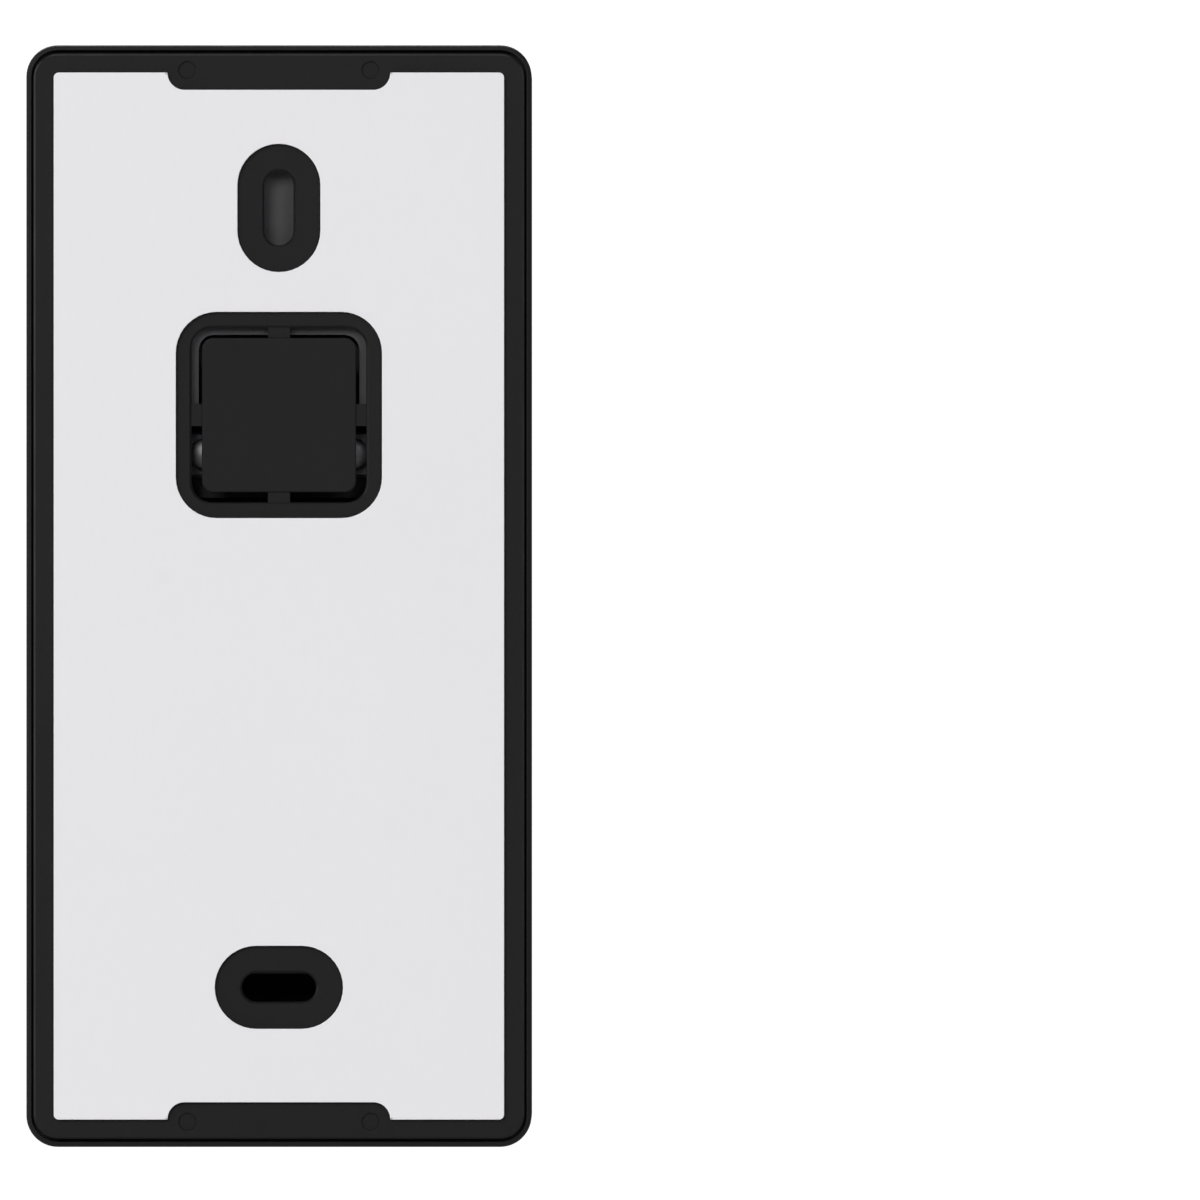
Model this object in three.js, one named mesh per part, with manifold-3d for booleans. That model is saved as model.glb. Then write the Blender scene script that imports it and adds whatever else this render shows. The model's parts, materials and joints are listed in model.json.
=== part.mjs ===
// A battery video doorbell clipped on its wall bracket.
// Millimetres, +Z up. The wall is the plane y = 0 and the visitor stands on the -Y side.
// Every "depth" below is a distance from the wall, so a point at depth d has y = -d.
import * as THREE from "three";
import { mergeVertices } from "three/addons/utils/BufferGeometryUtils.js";
import Module from "manifold-3d";

const wasm = await Module();
wasm.setup();

// ---- Driving dimensions ----
const BODY_WIDTH = 64.2;
const BODY_HEIGHT = 140;
const BODY_CORNER = 4;
const LIP_WALL = 0.65; // shell edge that surrounds the bracket
const SHELL_WALL = 1.5;
const SHELL_BLANK_DEPTH = 40;
const FRONT_EDGE = 1.6; // rounding of the front edge
const GAP = 0.3; // clearance between pieces that fit into each other

// Depths of the layers, from the wall to the visitor
const LINER_BACK = 0;
const FOAM_BACK = 0.15;
const BRACKET_BACK = 0.8;
const LIP_BACK = 1;
const BRACKET_FRONT = 2.4;
const COVER_BACK = 2.7;
const COVER_FRONT = 4.3;
const BOARD_BACK = 22.4;
const BOARD_FRONT = 23.4;
const FRONT_WALL_BACK = 27.4;
const WINDOW_SEAT = 28.2;
const FRONT_FACE = 29.4;
const PROUD_FACE = 30; // button, lens ring and motion lens stand this far out

// Wall bracket
const BRACKET_WIDTH = 62.4;
const BRACKET_HEIGHT = 137.9;
const BRACKET_CORNER = 3.1;
const SCREW_SLOT = { width: 3.7, length: 9.45 };
const UPPER_SLOT_Z = 49.3;
const LOWER_SLOT_Z = -49.7;
const KNOCKOUT_Z = 23;
const KNOCKOUT_HOLE = { width: 22.2, corner: 2.6 };
const KNOCKOUT_PANEL = { width: 19.6, corner: 1.45 };
const BRIDGE = { width: 2.8, thickness: 0.8, sunk: 0.25, overlap: 0.2 };
const ROUND_MARK = { x: 11.63, z: 66.8, radius: 1.12, depth: 0.3 };
const TAB_HALF_WIDTH = 5;
const TAB_Z = { low: 63.2, high: 65 };
const TAB_ROOT = 2; // depth where both tabs grow out of the plate
const TOP_TAB_END = 9;
const LOW_TAB_END = 13;
const SNAP = { back: 4.9, front: 6.4, height: 0.5 };
const SECURITY_SCREW_DEPTH = 9;

// Adhesive sheet
const SHEET_WIDTH = 57.2;
const SHEET_HEIGHT = 133;
const SHEET_CORNER = 0.65;
const NOTCH = { width: 28.3, depth: 2.2, corner: 2.5 };
const SHEET_HOLE = { width: 10.55, length: 16.3 };
const SHEET_WINDOW = { width: 26.2, corner: 5.2 };

// Battery bay: four size AA cells, standing side by side
const CELL_RADIUS = 7.05;
const CELL_PITCH = 14.2;
const CELL_LENGTH = 50.5;
const CELL_DEPTH = 11.6; // depth of the cells' axes
const CONTACT_THICKNESS = 0.4;
const CONTACT_LOW = { top: 9.1, low: -44.8 };
const SPRING = { wire: 0.3, wide: 3.6, narrow: 2.2, turns: 2.5, play: 0.05 };
const BAY = { left: -28.5, right: 28.5, low: -45, high: 9.7, floor: 18.9 };
const DOOR = { width: 58, low: -45.9, high: 10.6, front: 3.8, corner: 1 };

const GRIP = { width: 14, thickness: 1.2, depth: 0.4, pitch: 2.4, z: 4 };

// Wiring pocket behind the knock-out
const POCKET = { half: 12.5, low: 11.9, high: 22.2, floor: 13 };
const POCKET_NECK = { half: 10.2, high: 33.2, corner: 1.9, floor: 10 }; // narrower upper part of the pocket
const UPPER_RECESS = { width: 9, length: 15.6, floor: 4.4 };
const LOWER_RECESS = { width: 16.6, height: 9.6, z: LOWER_SLOT_Z - 1.8 };
const RELIEF_CUP = { width: 16, height: 9, depth: 17.5, wall: 1 };
const COVER_WALL = { side: 1.2, end: 1.6, floor: 1, recess: 1.2, back: 3 };
const TERMINAL = { x: 9.3, z: 18, headRadius: 2.1, post: 3, plate: 2.6, hole: 1.6 };

// Front
const WINDOW = { width: 56, height: 42, corner: 3, z: 45, hole: 10.5, gasket: 0.3 };
const CAMERA_Z = 45;
const LED_PLACE = { x: 18, z: 12 };
const MOTION_Z = 8;
const MIC_Z = -13;
const BUTTON_Z = -36;
const BUTTON_RADIUS = 11.9;
const RING = { inner: 12.2, outer: 14 };
const FRONT_HOLE = { camera: 11.6, led: 2.9, motion: 8.3, microphone: 0.7, button: 14.3 }; // radii

// Underside
const SPEAKER_DEPTH = 19.5;
const SPEAKER = { width: 28, thickness: 12, low: -66.9, high: -61 };
const SPEAKER_SLOT = { width: 1.6, length: 8, pitch: 4 };
const SPEAKER_WALL = 1.2;
const SPEAKER_GASKET_LOW = -68.4;
const MAGNET = { radius: 4.6, height: 3.4 };
const YOKE_THICKNESS = 0.8;
const SECURITY_SEAT = { head: 2.7, hole: 1.6, top: -68.2 };

const CORNER_SCREW = { x: 26.3, z: 63.6 };
const POST = { radius: 2.6, back: 6.3, pilot: 1.5, pilotBack: 5, pilotFront: 15 };
const COVER_SCREW_SEAT = { boss: 3.2, head: 2.7, hole: 1.5, front: 6 };
const PLUNGER = { x: 21, z: 17, hole: 2 };

// Segments of a rounded corner, of a turned piece and of the smaller rounds
const CORNER_STEPS = 5;
const ROUND_STEPS = 20;
const SMALL_STEPS = 12;
const SCREW_STEPS = 14;
const HOLE_STEPS = 10;
const SLOT_STEPS = 6;
const SPEAKER_STEPS = 8;
const OVERCUT = 1; // how far a cutting body stands out of the piece it cuts

// Boards and the pieces on them
const MAIN_BOARD = { width: 56, height: 80, corner: 2, z: -16 };
const LED_BOARD = { width: 44, height: 34, corner: 2, hole: 9, thickness: 1 };
const SHIELD = { width: 15, height: 20, corner: 0.8, thickness: 1.8, x: 19, z: -8 };
const SWITCH = { half: 3, plunger: 1.7, overlap: 0.2 };
const SENSOR = { width: 7, corner: 0.3, back: 13.6, front: 14.8 };
const CAMERA_BOARD = { width: 22, corner: 1.5, back: 12.7, front: 13.6 };
const HOLDER = { width: 20, corner: 1.5, back: 13.6, front: 16.1, halfOpening: 4.5 };
const MICROPHONE = { halfWidth: 1.9, halfHeight: 1.5, front: 24.4 };

// ---- Outlines ----
function rounded(width, height, radius, x = 0, z = 0) {
  const corner = Math.min(radius, width / 2 - 0.002, height / 2 - 0.002);
  const right = width / 2 - corner;
  const top = height / 2 - corner;
  const quarter = Math.PI / 2;
  const shape = new THREE.Shape();
  shape.absarc(x + right, z + top, corner, 0, quarter);
  shape.absarc(x - right, z + top, corner, quarter, 2 * quarter);
  shape.absarc(x - right, z - top, corner, 2 * quarter, 3 * quarter);
  shape.absarc(x + right, z - top, corner, 3 * quarter, 4 * quarter);
  shape.closePath();
  return shape;
}

function disc(radius, x = 0, z = 0) {
  const shape = new THREE.Shape();
  shape.absarc(x, z, radius, 0, 2 * Math.PI);
  return shape;
}

function upright(slot, z) {
  return rounded(slot.width, slot.length, slot.width / 2, 0, z);
}

function level(slot, z) {
  return rounded(slot.length, slot.width, slot.width / 2, 0, z);
}

// ---- Solids ----
// Extrusion settings; three.js gives an arc twice curveSegments, so steps is the count for each arc.
function extrusion(depth, steps) {
  return { depth, bevelEnabled: false, curveSegments: steps / 2 };
}

// An outline in X and Z, thickened from one depth to another.
function slab(outline, back, front, steps = CORNER_STEPS) {
  const options = extrusion(front - back, steps);
  const geometry = new THREE.ExtrudeGeometry(outline, options);
  return geometry.rotateX(Math.PI / 2).translate(0, -back, 0);
}

// A block between two corners, each given as x, depth, z.
function block(low, high) {
  const size = high.map((value, axis) => value - low[axis]);
  const middle = high.map((value, axis) => (value + low[axis]) / 2);
  return new THREE.BoxGeometry(...size).translate(middle[0], -middle[1], middle[2]);
}

// An outline in X and depth, raised from one height to another.
function column(outline, low, high, steps = ROUND_STEPS) {
  return new THREE.ExtrudeGeometry(outline, extrusion(high - low, steps)).translate(0, 0, low);
}

// A profile of [radius, depth] points, listed from the wall side, turned about an axis along Y.
function turned(profile, x = 0, z = 0, steps = ROUND_STEPS) {
  const points = profile.map(([radius, depth]) => new THREE.Vector2(radius, -depth));
  return new THREE.LatheGeometry(points.reverse(), steps).translate(x, 0, z);
}

// A thin frame between two outlines.
function frame(width, height, radius, wall, back, front, z = 0) {
  const outer = slab(rounded(width, height, radius, 0, z), back, front);
  const hole = rounded(width - 2 * wall, height - 2 * wall, Math.max(radius - wall, 0.3), 0, z);
  return cut(outer, slab(hole, back - 1, front + 1));
}

function solidOf(geometry) {
  const bare = geometry.index ? geometry.toNonIndexed() : geometry.clone();
  bare.deleteAttribute("normal");
  bare.deleteAttribute("uv");
  const merged = mergeVertices(bare, 1e-4);
  const vertProperties = merged.attributes.position.array;
  const triVerts = new Uint32Array(merged.index.array);
  return new wasm.Manifold(new wasm.Mesh({ numProp: 3, vertProperties, triVerts }));
}

function geometryOf(solid) {
  const mesh = solid.getMesh();
  const geometry = new THREE.BufferGeometry();
  geometry.setAttribute("position", new THREE.BufferAttribute(mesh.vertProperties, 3));
  geometry.setIndex(new THREE.BufferAttribute(mesh.triVerts, 1));
  return geometry;
}

function join(...pieces) {
  return geometryOf(pieces.map(solidOf).reduce((whole, piece) => whole.add(piece)));
}

function cut(body, ...tools) {
  return geometryOf(tools.map(solidOf).reduce((rest, tool) => rest.subtract(tool), solidOf(body)));
}

// ---- Adhesive sheet and its release liner ----
function stickySheet(back, front) {
  const sheet = slab(rounded(SHEET_WIDTH, SHEET_HEIGHT, SHEET_CORNER), back, front);
  const notchHeight = 2 * NOTCH.depth + 2 * NOTCH.corner;
  const notchZ = SHEET_HEIGHT / 2 - NOTCH.depth + notchHeight / 2;
  const openings = [
    rounded(NOTCH.width, notchHeight, NOTCH.corner, 0, notchZ),
    rounded(NOTCH.width, notchHeight, NOTCH.corner, 0, -notchZ),
    upright(SHEET_HOLE, UPPER_SLOT_Z),
    level(SHEET_HOLE, LOWER_SLOT_Z),
    rounded(SHEET_WINDOW.width, SHEET_WINDOW.width, SHEET_WINDOW.corner, 0, KNOCKOUT_Z),
  ];
  return cut(sheet, ...openings.map((outline) => slab(outline, back - 1, front + 1, 8)));
}

// ---- Wall bracket: plate, knock-out panel on four bridges, two tabs that reach into the doorbell ----
function knockoutSquare({ width, corner }, back, front) {
  return slab(rounded(width, width, corner, 0, KNOCKOUT_Z), back, front);
}

function knockoutChannel() {
  const hole = knockoutSquare(KNOCKOUT_HOLE, BRACKET_BACK - OVERCUT, BRACKET_FRONT + OVERCUT);
  const panel = knockoutSquare(KNOCKOUT_PANEL, BRACKET_BACK - 2 * OVERCUT, BRACKET_FRONT + 2 * OVERCUT);
  return cut(hole, panel);
}

function knockoutBridges() {
  const reach = KNOCKOUT_HOLE.width / 2 + BRIDGE.overlap;
  const inside = KNOCKOUT_PANEL.width / 2 - BRIDGE.overlap;
  const half = BRIDGE.width / 2;
  const back = BRACKET_BACK + BRIDGE.sunk;
  const front = back + BRIDGE.thickness;
  return [-1, 1].flatMap((side) => {
    const from = Math.min(side * inside, side * reach);
    const to = Math.max(side * inside, side * reach);
    return [
      block([from, back, KNOCKOUT_Z - half], [to, front, KNOCKOUT_Z + half]),
      block([-half, back, KNOCKOUT_Z + from], [half, front, KNOCKOUT_Z + to]),
    ];
  });
}

function wallBracket() {
  const outline = rounded(BRACKET_WIDTH, BRACKET_HEIGHT, BRACKET_CORNER);
  const plate = cut(
    slab(outline, BRACKET_BACK, BRACKET_FRONT),
    knockoutChannel(),
    slab(upright(SCREW_SLOT, UPPER_SLOT_Z), BRACKET_BACK - OVERCUT, BRACKET_FRONT + OVERCUT, SLOT_STEPS),
    slab(level(SCREW_SLOT, LOWER_SLOT_Z), BRACKET_BACK - OVERCUT, BRACKET_FRONT + OVERCUT, SLOT_STEPS),
    ...roundMarks(),
  );
  const half = TAB_HALF_WIDTH;
  const bumpTop = TAB_Z.high + SNAP.height;
  const topTab = block([-half, TAB_ROOT, TAB_Z.low], [half, TOP_TAB_END, TAB_Z.high]);
  const snapBump = block([-half, SNAP.back, TAB_Z.high - 0.2], [half, SNAP.front, bumpTop]);
  const lowTab = block([-half, TAB_ROOT, -TAB_Z.high], [half, LOW_TAB_END, -TAB_Z.low]);
  return cut(join(plate, ...knockoutBridges(), topTab, snapBump, lowTab), screwFork());
}

// Four shallow round marks in the plate, two in each notch of the sheet.
function roundMarks() {
  const { x, z, radius, depth } = ROUND_MARK;
  const places = [-1, 1].flatMap((side) => [-1, 1].map((end) => [side * x, end * z]));
  const front = BRACKET_BACK + depth;
  return places.map(([markX, markZ]) => {
    return slab(disc(radius, markX, markZ), BRACKET_BACK - OVERCUT, front, SMALL_STEPS);
  });
}

// Slot in the lower tab, open towards the visitor, that the security screw stands in.
function screwFork() {
  const length = 12;
  const width = 3.2;
  const middle = -(SECURITY_SCREW_DEPTH - width / 2 + length / 2);
  const outline = rounded(width, length, width / 2, 0, middle);
  return column(outline, -TAB_Z.high - OVERCUT, -TAB_Z.low + OVERCUT, SLOT_STEPS);
}

// ---- Outer shell: rim, sides, front wall with its openings, and the bosses inside ----
function shellBlank() {
  const options = {
    depth: SHELL_BLANK_DEPTH,
    bevelThickness: FRONT_EDGE,
    bevelSize: FRONT_EDGE,
    bevelOffset: -FRONT_EDGE,
    bevelSegments: 2,
    curveSegments: CORNER_STEPS / 2,
  };
  const long = new THREE.ExtrudeGeometry(rounded(BODY_WIDTH, BODY_HEIGHT, BODY_CORNER), options);
  long.rotateX(Math.PI / 2).translate(0, -(FRONT_FACE - FRONT_EDGE - options.depth), 0);
  const behind = block([-BODY_WIDTH, -SHELL_BLANK_DEPTH, -BODY_HEIGHT], [BODY_WIDTH, LIP_BACK, BODY_HEIGHT]);
  return cut(long, behind);
}

function shellCavities() {
  const lipWidth = BODY_WIDTH - 2 * LIP_WALL;
  const lipHeight = BODY_HEIGHT - 2 * LIP_WALL;
  const inWidth = BODY_WIDTH - 2 * SHELL_WALL;
  const inHeight = BODY_HEIGHT - 2 * SHELL_WALL;
  return [
    slab(rounded(lipWidth, lipHeight, BODY_CORNER - LIP_WALL), 0, COVER_BACK - 0.1),
    slab(rounded(inWidth, inHeight, BODY_CORNER - SHELL_WALL), 0, FRONT_WALL_BACK),
  ];
}

function shellBosses() {
  const { radius, back } = POST;
  const front = FRONT_WALL_BACK + 0.5;
  const posts = cornerPlaces().map(([x, z]) => slab(disc(radius, x, z), back, front, SMALL_STEPS));
  const screwBoss = block([-4.5, 6.1, -68.8], [4.5, 12.2, -66.2]);
  return [...posts, screwBoss];
}

function cornerPlaces() {
  const { x, z } = CORNER_SCREW;
  return [
    [-x, z],
    [x, z],
    [-x, -z],
    [x, -z],
  ];
}

function ledPlaces() {
  const { x, z } = LED_PLACE;
  return [
    [-x, CAMERA_Z + z],
    [x, CAMERA_Z + z],
    [-x, CAMERA_Z - z],
    [x, CAMERA_Z - z],
  ];
}

function frontOpenings() {
  const { width, height, corner, z } = WINDOW;
  const outline = rounded(width + 2 * GAP, height + 2 * GAP, corner + GAP, 0, z);
  const back = FRONT_WALL_BACK - OVERCUT;
  const front = PROUD_FACE + OVERCUT;
  const hole = (radius, x, holeZ, steps) => slab(disc(radius, x, holeZ), back, front, steps);
  return [
    slab(outline, WINDOW_SEAT, front),
    ...ledPlaces().map(([x, ledZ]) => hole(FRONT_HOLE.led, x, ledZ, SMALL_STEPS)),
    hole(FRONT_HOLE.camera, 0, CAMERA_Z, ROUND_STEPS),
    hole(FRONT_HOLE.motion, 0, MOTION_Z, ROUND_STEPS),
    hole(FRONT_HOLE.microphone, 0, MIC_Z, SMALL_STEPS),
    hole(FRONT_HOLE.button, 0, BUTTON_Z, ROUND_STEPS),
  ];
}

function undersideOpenings() {
  const { width, length, pitch } = SPEAKER_SLOT;
  const below = -BODY_HEIGHT / 2 - OVERCUT;
  const slots = [-2, -1, 0, 1, 2].map((step) => {
    const outline = rounded(width, length, width / 2, pitch * step, -SPEAKER_DEPTH);
    return column(outline, below, -67, CORNER_STEPS);
  });
  return [
    ...slots,
    column(disc(SECURITY_SEAT.head, 0, -SECURITY_SCREW_DEPTH), below, SECURITY_SEAT.top, SMALL_STEPS),
    column(disc(SECURITY_SEAT.hole, 0, -SECURITY_SCREW_DEPTH), below, -60, SMALL_STEPS),
  ];
}

function housingShell() {
  const { pilot, pilotBack, pilotFront } = POST;
  const pilots = cornerPlaces().map(([x, z]) => slab(disc(pilot, x, z), pilotBack, pilotFront, HOLE_STEPS));
  const hollow = cut(shellBlank(), ...shellCavities());
  return cut(join(hollow, ...shellBosses()), ...frontOpenings(), ...undersideOpenings(), ...pilots);
}

// ---- Rear cover: back plate with the battery bay, the wiring pocket and the screw recesses ----
// Outline of the pocket's upper part, grown by the thickness of a wall.
function pocketNeck(grown) {
  const low = (POCKET.low + POCKET.high) / 2;
  const high = POCKET_NECK.high + grown;
  const width = 2 * (POCKET_NECK.half + grown);
  return rounded(width, high - low, POCKET_NECK.corner + grown, 0, (high + low) / 2);
}

// Room for the head of the upper wall screw, grown by the thickness of a wall.
function upperRecess(grown, back, front) {
  const width = UPPER_RECESS.width + 2 * grown;
  const length = UPPER_RECESS.length + 2 * grown;
  return slab(rounded(width, length, width / 2, 0, UPPER_SLOT_Z), back, front, SLOT_STEPS);
}

function rearCoverBodies() {
  const width = BODY_WIDTH - 2 * SHELL_WALL - 2 * GAP;
  const height = BODY_HEIGHT - 2 * SHELL_WALL - 2 * GAP;
  const { side, end, floor: wall, back } = COVER_WALL;
  const pocketSide = POCKET.half + wall;
  const { boss, front } = COVER_SCREW_SEAT;
  const screwBosses = cornerPlaces().map(([x, z]) => slab(disc(boss, x, z), COVER_BACK, front, SMALL_STEPS));
  return [
    slab(rounded(width, height, 2.2), COVER_BACK, COVER_FRONT),
    block([BAY.left - side, back, BAY.low - end], [BAY.right + side, BAY.floor + wall, BAY.high + end]),
    block([-pocketSide, back, BAY.high], [pocketSide, POCKET.floor + wall, POCKET.high + wall]),
    slab(pocketNeck(wall), back, POCKET_NECK.floor + wall),
    upperRecess(COVER_WALL.recess, COVER_BACK, UPPER_RECESS.floor + COVER_WALL.recess),
    ...screwBosses,
  ];
}

function rearCoverCuts() {
  const doorWidth = DOOR.width + 2 * GAP;
  const doorHeight = DOOR.high - DOOR.low + 2 * GAP;
  const doorZ = (DOOR.high + DOOR.low) / 2;
  const behind = COVER_BACK - OVERCUT;
  const { head, hole, front } = COVER_SCREW_SEAT;
  const round = (radius, x, z, end, steps = SMALL_STEPS) => slab(disc(radius, x, z), behind, end, steps);
  const lower = rounded(LOWER_RECESS.width, LOWER_RECESS.height, LOWER_RECESS.height / 2, 0, LOWER_RECESS.z);
  const tabSlots = [-1, 1].map((end) => {
    const middle = (end * (TAB_Z.low + TAB_Z.high)) / 2;
    return block([-5.6, behind, middle - 1.5], [5.6, 6, middle + 1.6]);
  });
  return [
    slab(rounded(doorWidth, doorHeight, DOOR.corner + GAP, 0, doorZ), behind, COVER_FRONT),
    block([BAY.left, behind, BAY.low], [BAY.right, BAY.floor, BAY.high]),
    block([-POCKET.half, behind, POCKET.low], [POCKET.half, POCKET.floor, POCKET.high]),
    slab(pocketNeck(0), behind, POCKET_NECK.floor),
    upperRecess(0, behind, UPPER_RECESS.floor),
    slab(lower, behind, 6, SLOT_STEPS),
    round(PLUNGER.hole, -PLUNGER.x, PLUNGER.z, 6),
    round(PLUNGER.hole, PLUNGER.x, PLUNGER.z, 6),
    ...cornerPlaces().map(([x, z]) => round(head, x, z, COVER_FRONT)),
    ...cornerPlaces().map(([x, z]) => round(hole, x, z, front + OVERCUT, HOLE_STEPS)),
    ...tabSlots,
  ];
}

function rearCover() {
  return cut(join(...rearCoverBodies()), ...rearCoverCuts());
}

// Deep rubber cup that leaves room for the head of the lower wall screw.
function screwReliefCup() {
  const { width, height, depth, wall } = RELIEF_CUP;
  const outline = (inset) => {
    const thickness = height - 2 * inset;
    return rounded(width - 2 * inset, thickness, thickness / 2, 0, LOWER_RECESS.z);
  };
  const cup = slab(outline(0), COVER_BACK, depth, SLOT_STEPS);
  return cut(cup, slab(outline(wall), COVER_BACK - OVERCUT, depth - wall, SLOT_STEPS));
}

// ---- Terminals ----
function terminalBlock() {
  const { z, post, hole } = TERMINAL;
  const base = block([-11.7, 7.7, 12.4], [11.7, POCKET.floor, 21.7]);
  const posts = [-1, 1].map((side) => {
    const middle = side * TERMINAL.x;
    return block([middle - post, 5.4, z - post], [middle + post, 8, z + post]);
  });
  const holes = [-1, 1].map((side) => slab(disc(hole, side * TERMINAL.x, z), 4, 12.2, HOLE_STEPS));
  return cut(join(base, ...posts), ...holes);
}

function terminalScrew(x) {
  const back = 3;
  const { headRadius, z } = TERMINAL;
  const screw = turned(
    [
      [0, back],
      [headRadius - 0.3, back],
      [headRadius, back + 0.4],
      [headRadius, 4.6],
      [1.25, 4.6],
      [1.25, 11.5],
      [0, 12],
    ],
    x,
    z,
    16,
  );
  return cut(screw, block([x - 0.35, 2, z - 3], [x + 0.35, back + 0.7, z + 3]));
}

function terminalClamp(x) {
  const { z, plate, hole } = TERMINAL;
  const square = block([x - plate, 4.7, z - plate], [x + plate, 5.3, z + plate]);
  return cut(square, slab(disc(hole, x, z), 4, 6, HOLE_STEPS));
}

// ---- Batteries ----
// Every second cell stands upside down; its spring pushes it towards the plate at its positive end.
function cellPlaces() {
  return [0, 1, 2, 3].map((index) => ({
    x: (index - 1.5) * CELL_PITCH,
    up: index % 2 === 0,
    low: index % 2 === 0 ? -41.8 : -44.1,
  }));
}

function batteryCell({ x, up, low }) {
  const edge = 0.6;
  const shoulder = CELL_LENGTH - 1;
  const profile = [
    [0, 0],
    [CELL_RADIUS - edge, 0],
    [CELL_RADIUS, edge],
    [CELL_RADIUS, shoulder - edge],
    [CELL_RADIUS - edge, shoulder],
    [2.7, shoulder],
    [2.5, CELL_LENGTH],
    [0, CELL_LENGTH],
  ].map(([radius, z]) => new THREE.Vector2(radius, z));
  const cell = new THREE.LatheGeometry(profile, ROUND_STEPS).rotateX(Math.PI / 2);
  if (!up) cell.rotateX(Math.PI).translate(0, 0, CELL_LENGTH);
  return cell.translate(x, -CELL_DEPTH, low);
}

function contactPlate(low) {
  return block([-28, 10.4, low], [28, 18.4, low + CONTACT_THICKNESS]);
}

// Conical helix between a cell's negative end and the contact plate.
class SpringCurve extends THREE.Curve {
  constructor(centre, start, rise, turns) {
    super();
    Object.assign(this, { centre, start, rise, turns });
  }

  getPoint(t, target = new THREE.Vector3()) {
    const angle = 2 * Math.PI * this.turns * t;
    const radius = SPRING.wide + (SPRING.narrow - SPRING.wide) * t;
    const z = this.start + this.rise * t;
    const x = this.centre + radius * Math.cos(angle);
    return target.set(x, -CELL_DEPTH + radius * Math.sin(angle), z);
  }
}

function contactSpring({ x, up, low }) {
  const { wire, turns, play } = SPRING;
  const lowContact = CONTACT_LOW.low + CONTACT_THICKNESS;
  const start = up ? lowContact + wire + play : CONTACT_LOW.top - wire - play;
  const end = up ? low - wire - 2 * play : low + CELL_LENGTH + wire + 2 * play;
  const path = new SpringCurve(x, start, end - start, turns);
  const section = new THREE.Shape();
  section.absarc(0, 0, wire, 0, 2 * Math.PI);
  return new THREE.ExtrudeGeometry(section, { steps: 24, curveSegments: 3, extrudePath: path });
}

function batteryDoor() {
  const height = DOOR.high - DOOR.low;
  const middle = (DOOR.high + DOOR.low) / 2;
  const panel = slab(rounded(DOOR.width, height, DOOR.corner, 0, middle), COVER_BACK, DOOR.front);
  const snapArm = block([-3, 3, 8.2], [3, 10, 8.9]);
  const { width, thickness, depth, pitch, z } = GRIP;
  const grip = slab(rounded(width, thickness, thickness / 2, 0, 0), COVER_BACK - OVERCUT, COVER_BACK + depth);
  const grips = [-1, 0, 1].map((row) => grip.clone().translate(0, 0, z + pitch * row));
  return cut(join(panel, snapArm), ...grips);
}

function doorSeal() {
  const height = DOOR.high - DOOR.low;
  const middle = (DOOR.high + DOOR.low) / 2;
  const band = (height - (BAY.high - BAY.low)) / 2 - 0.2;
  return frame(DOOR.width - 0.2, height - 0.2, 0.9, band * 0.6, DOOR.front, COVER_FRONT, middle);
}

function coverScrew([x, z]) {
  const screw = turned(
    [
      [0, 2.9],
      [2, 2.9],
      [2.4, 3.3],
      [2.4, 4.2],
      [1.2, 4.2],
      [1.2, 13],
      [0, 14],
    ],
    x,
    z,
    SCREW_STEPS,
  );
  const slotA = block([x - 1.3, 2, z - 0.3], [x + 1.3, 3.6, z + 0.3]);
  const slotB = block([x - 0.3, 2, z - 1.3], [x + 0.3, 3.6, z + 1.3]);
  return cut(screw, slotA, slotB);
}

// ---- Boards and what stands on them ----
function mainBoard() {
  const { width, height, corner, z } = MAIN_BOARD;
  return slab(rounded(width, height, corner, 0, z), BOARD_BACK, BOARD_FRONT);
}

function ledBoard() {
  const { width, height, corner, hole, thickness } = LED_BOARD;
  const front = BOARD_FRONT + thickness;
  const board = slab(rounded(width, height, corner, 0, CAMERA_Z), BOARD_FRONT, front);
  return cut(board, slab(disc(hole, 0, CAMERA_Z), BOARD_FRONT - OVERCUT, front + OVERCUT, ROUND_STEPS));
}

function boardShield() {
  const { width, height, corner, thickness, x, z } = SHIELD;
  return slab(rounded(width, height, corner, x, z), BOARD_FRONT, BOARD_FRONT + thickness, 2);
}

// Square push switch: body on the board, round plunger on the side it is pressed from.
function pushSwitch(x, z, base, top, plungerTop) {
  const back = Math.min(base, top);
  const { half, plunger, overlap } = SWITCH;
  const body = block([x - half, back, z - half], [x + half, Math.max(base, top), z + half]);
  const low = Math.min(top, plungerTop) - overlap;
  const high = Math.max(top, plungerTop) + overlap;
  return join(body, slab(disc(plunger, x, z), low, high, SMALL_STEPS));
}

function irLed([x, z]) {
  return turned(
    [
      [0, 24.4],
      [2.6, 24.4],
      [2.6, 25.2],
      [2.3, 25.2],
      [2.3, 26.4],
      [1.7, 27.4],
      [0, 27.8],
    ],
    x,
    z,
    SCREW_STEPS,
  );
}

function antenna() {
  return block([-30.2, 9, 30], [-29.9, 20, 58]);
}

// ---- Camera ----
function cameraBezel() {
  return turned(
    [
      [7.7, 26],
      [11.2, 26],
      [11.2, 27.1],
      [10.2, 27.1],
      [10.2, 29.6],
      [9.6, PROUD_FACE],
      [8.6, PROUD_FACE],
      [7.7, 28.9],
      [7.7, 26],
    ],
    0,
    CAMERA_Z,
    ROUND_STEPS,
  );
}

function frontLens() {
  return turned(
    [
      [0, 27.9],
      [7.4, 27.9],
      [7.4, 28.7],
      [5.6, 29.3],
      [3, 29.65],
      [0, 29.75],
    ],
    0,
    CAMERA_Z,
    ROUND_STEPS,
  );
}

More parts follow.
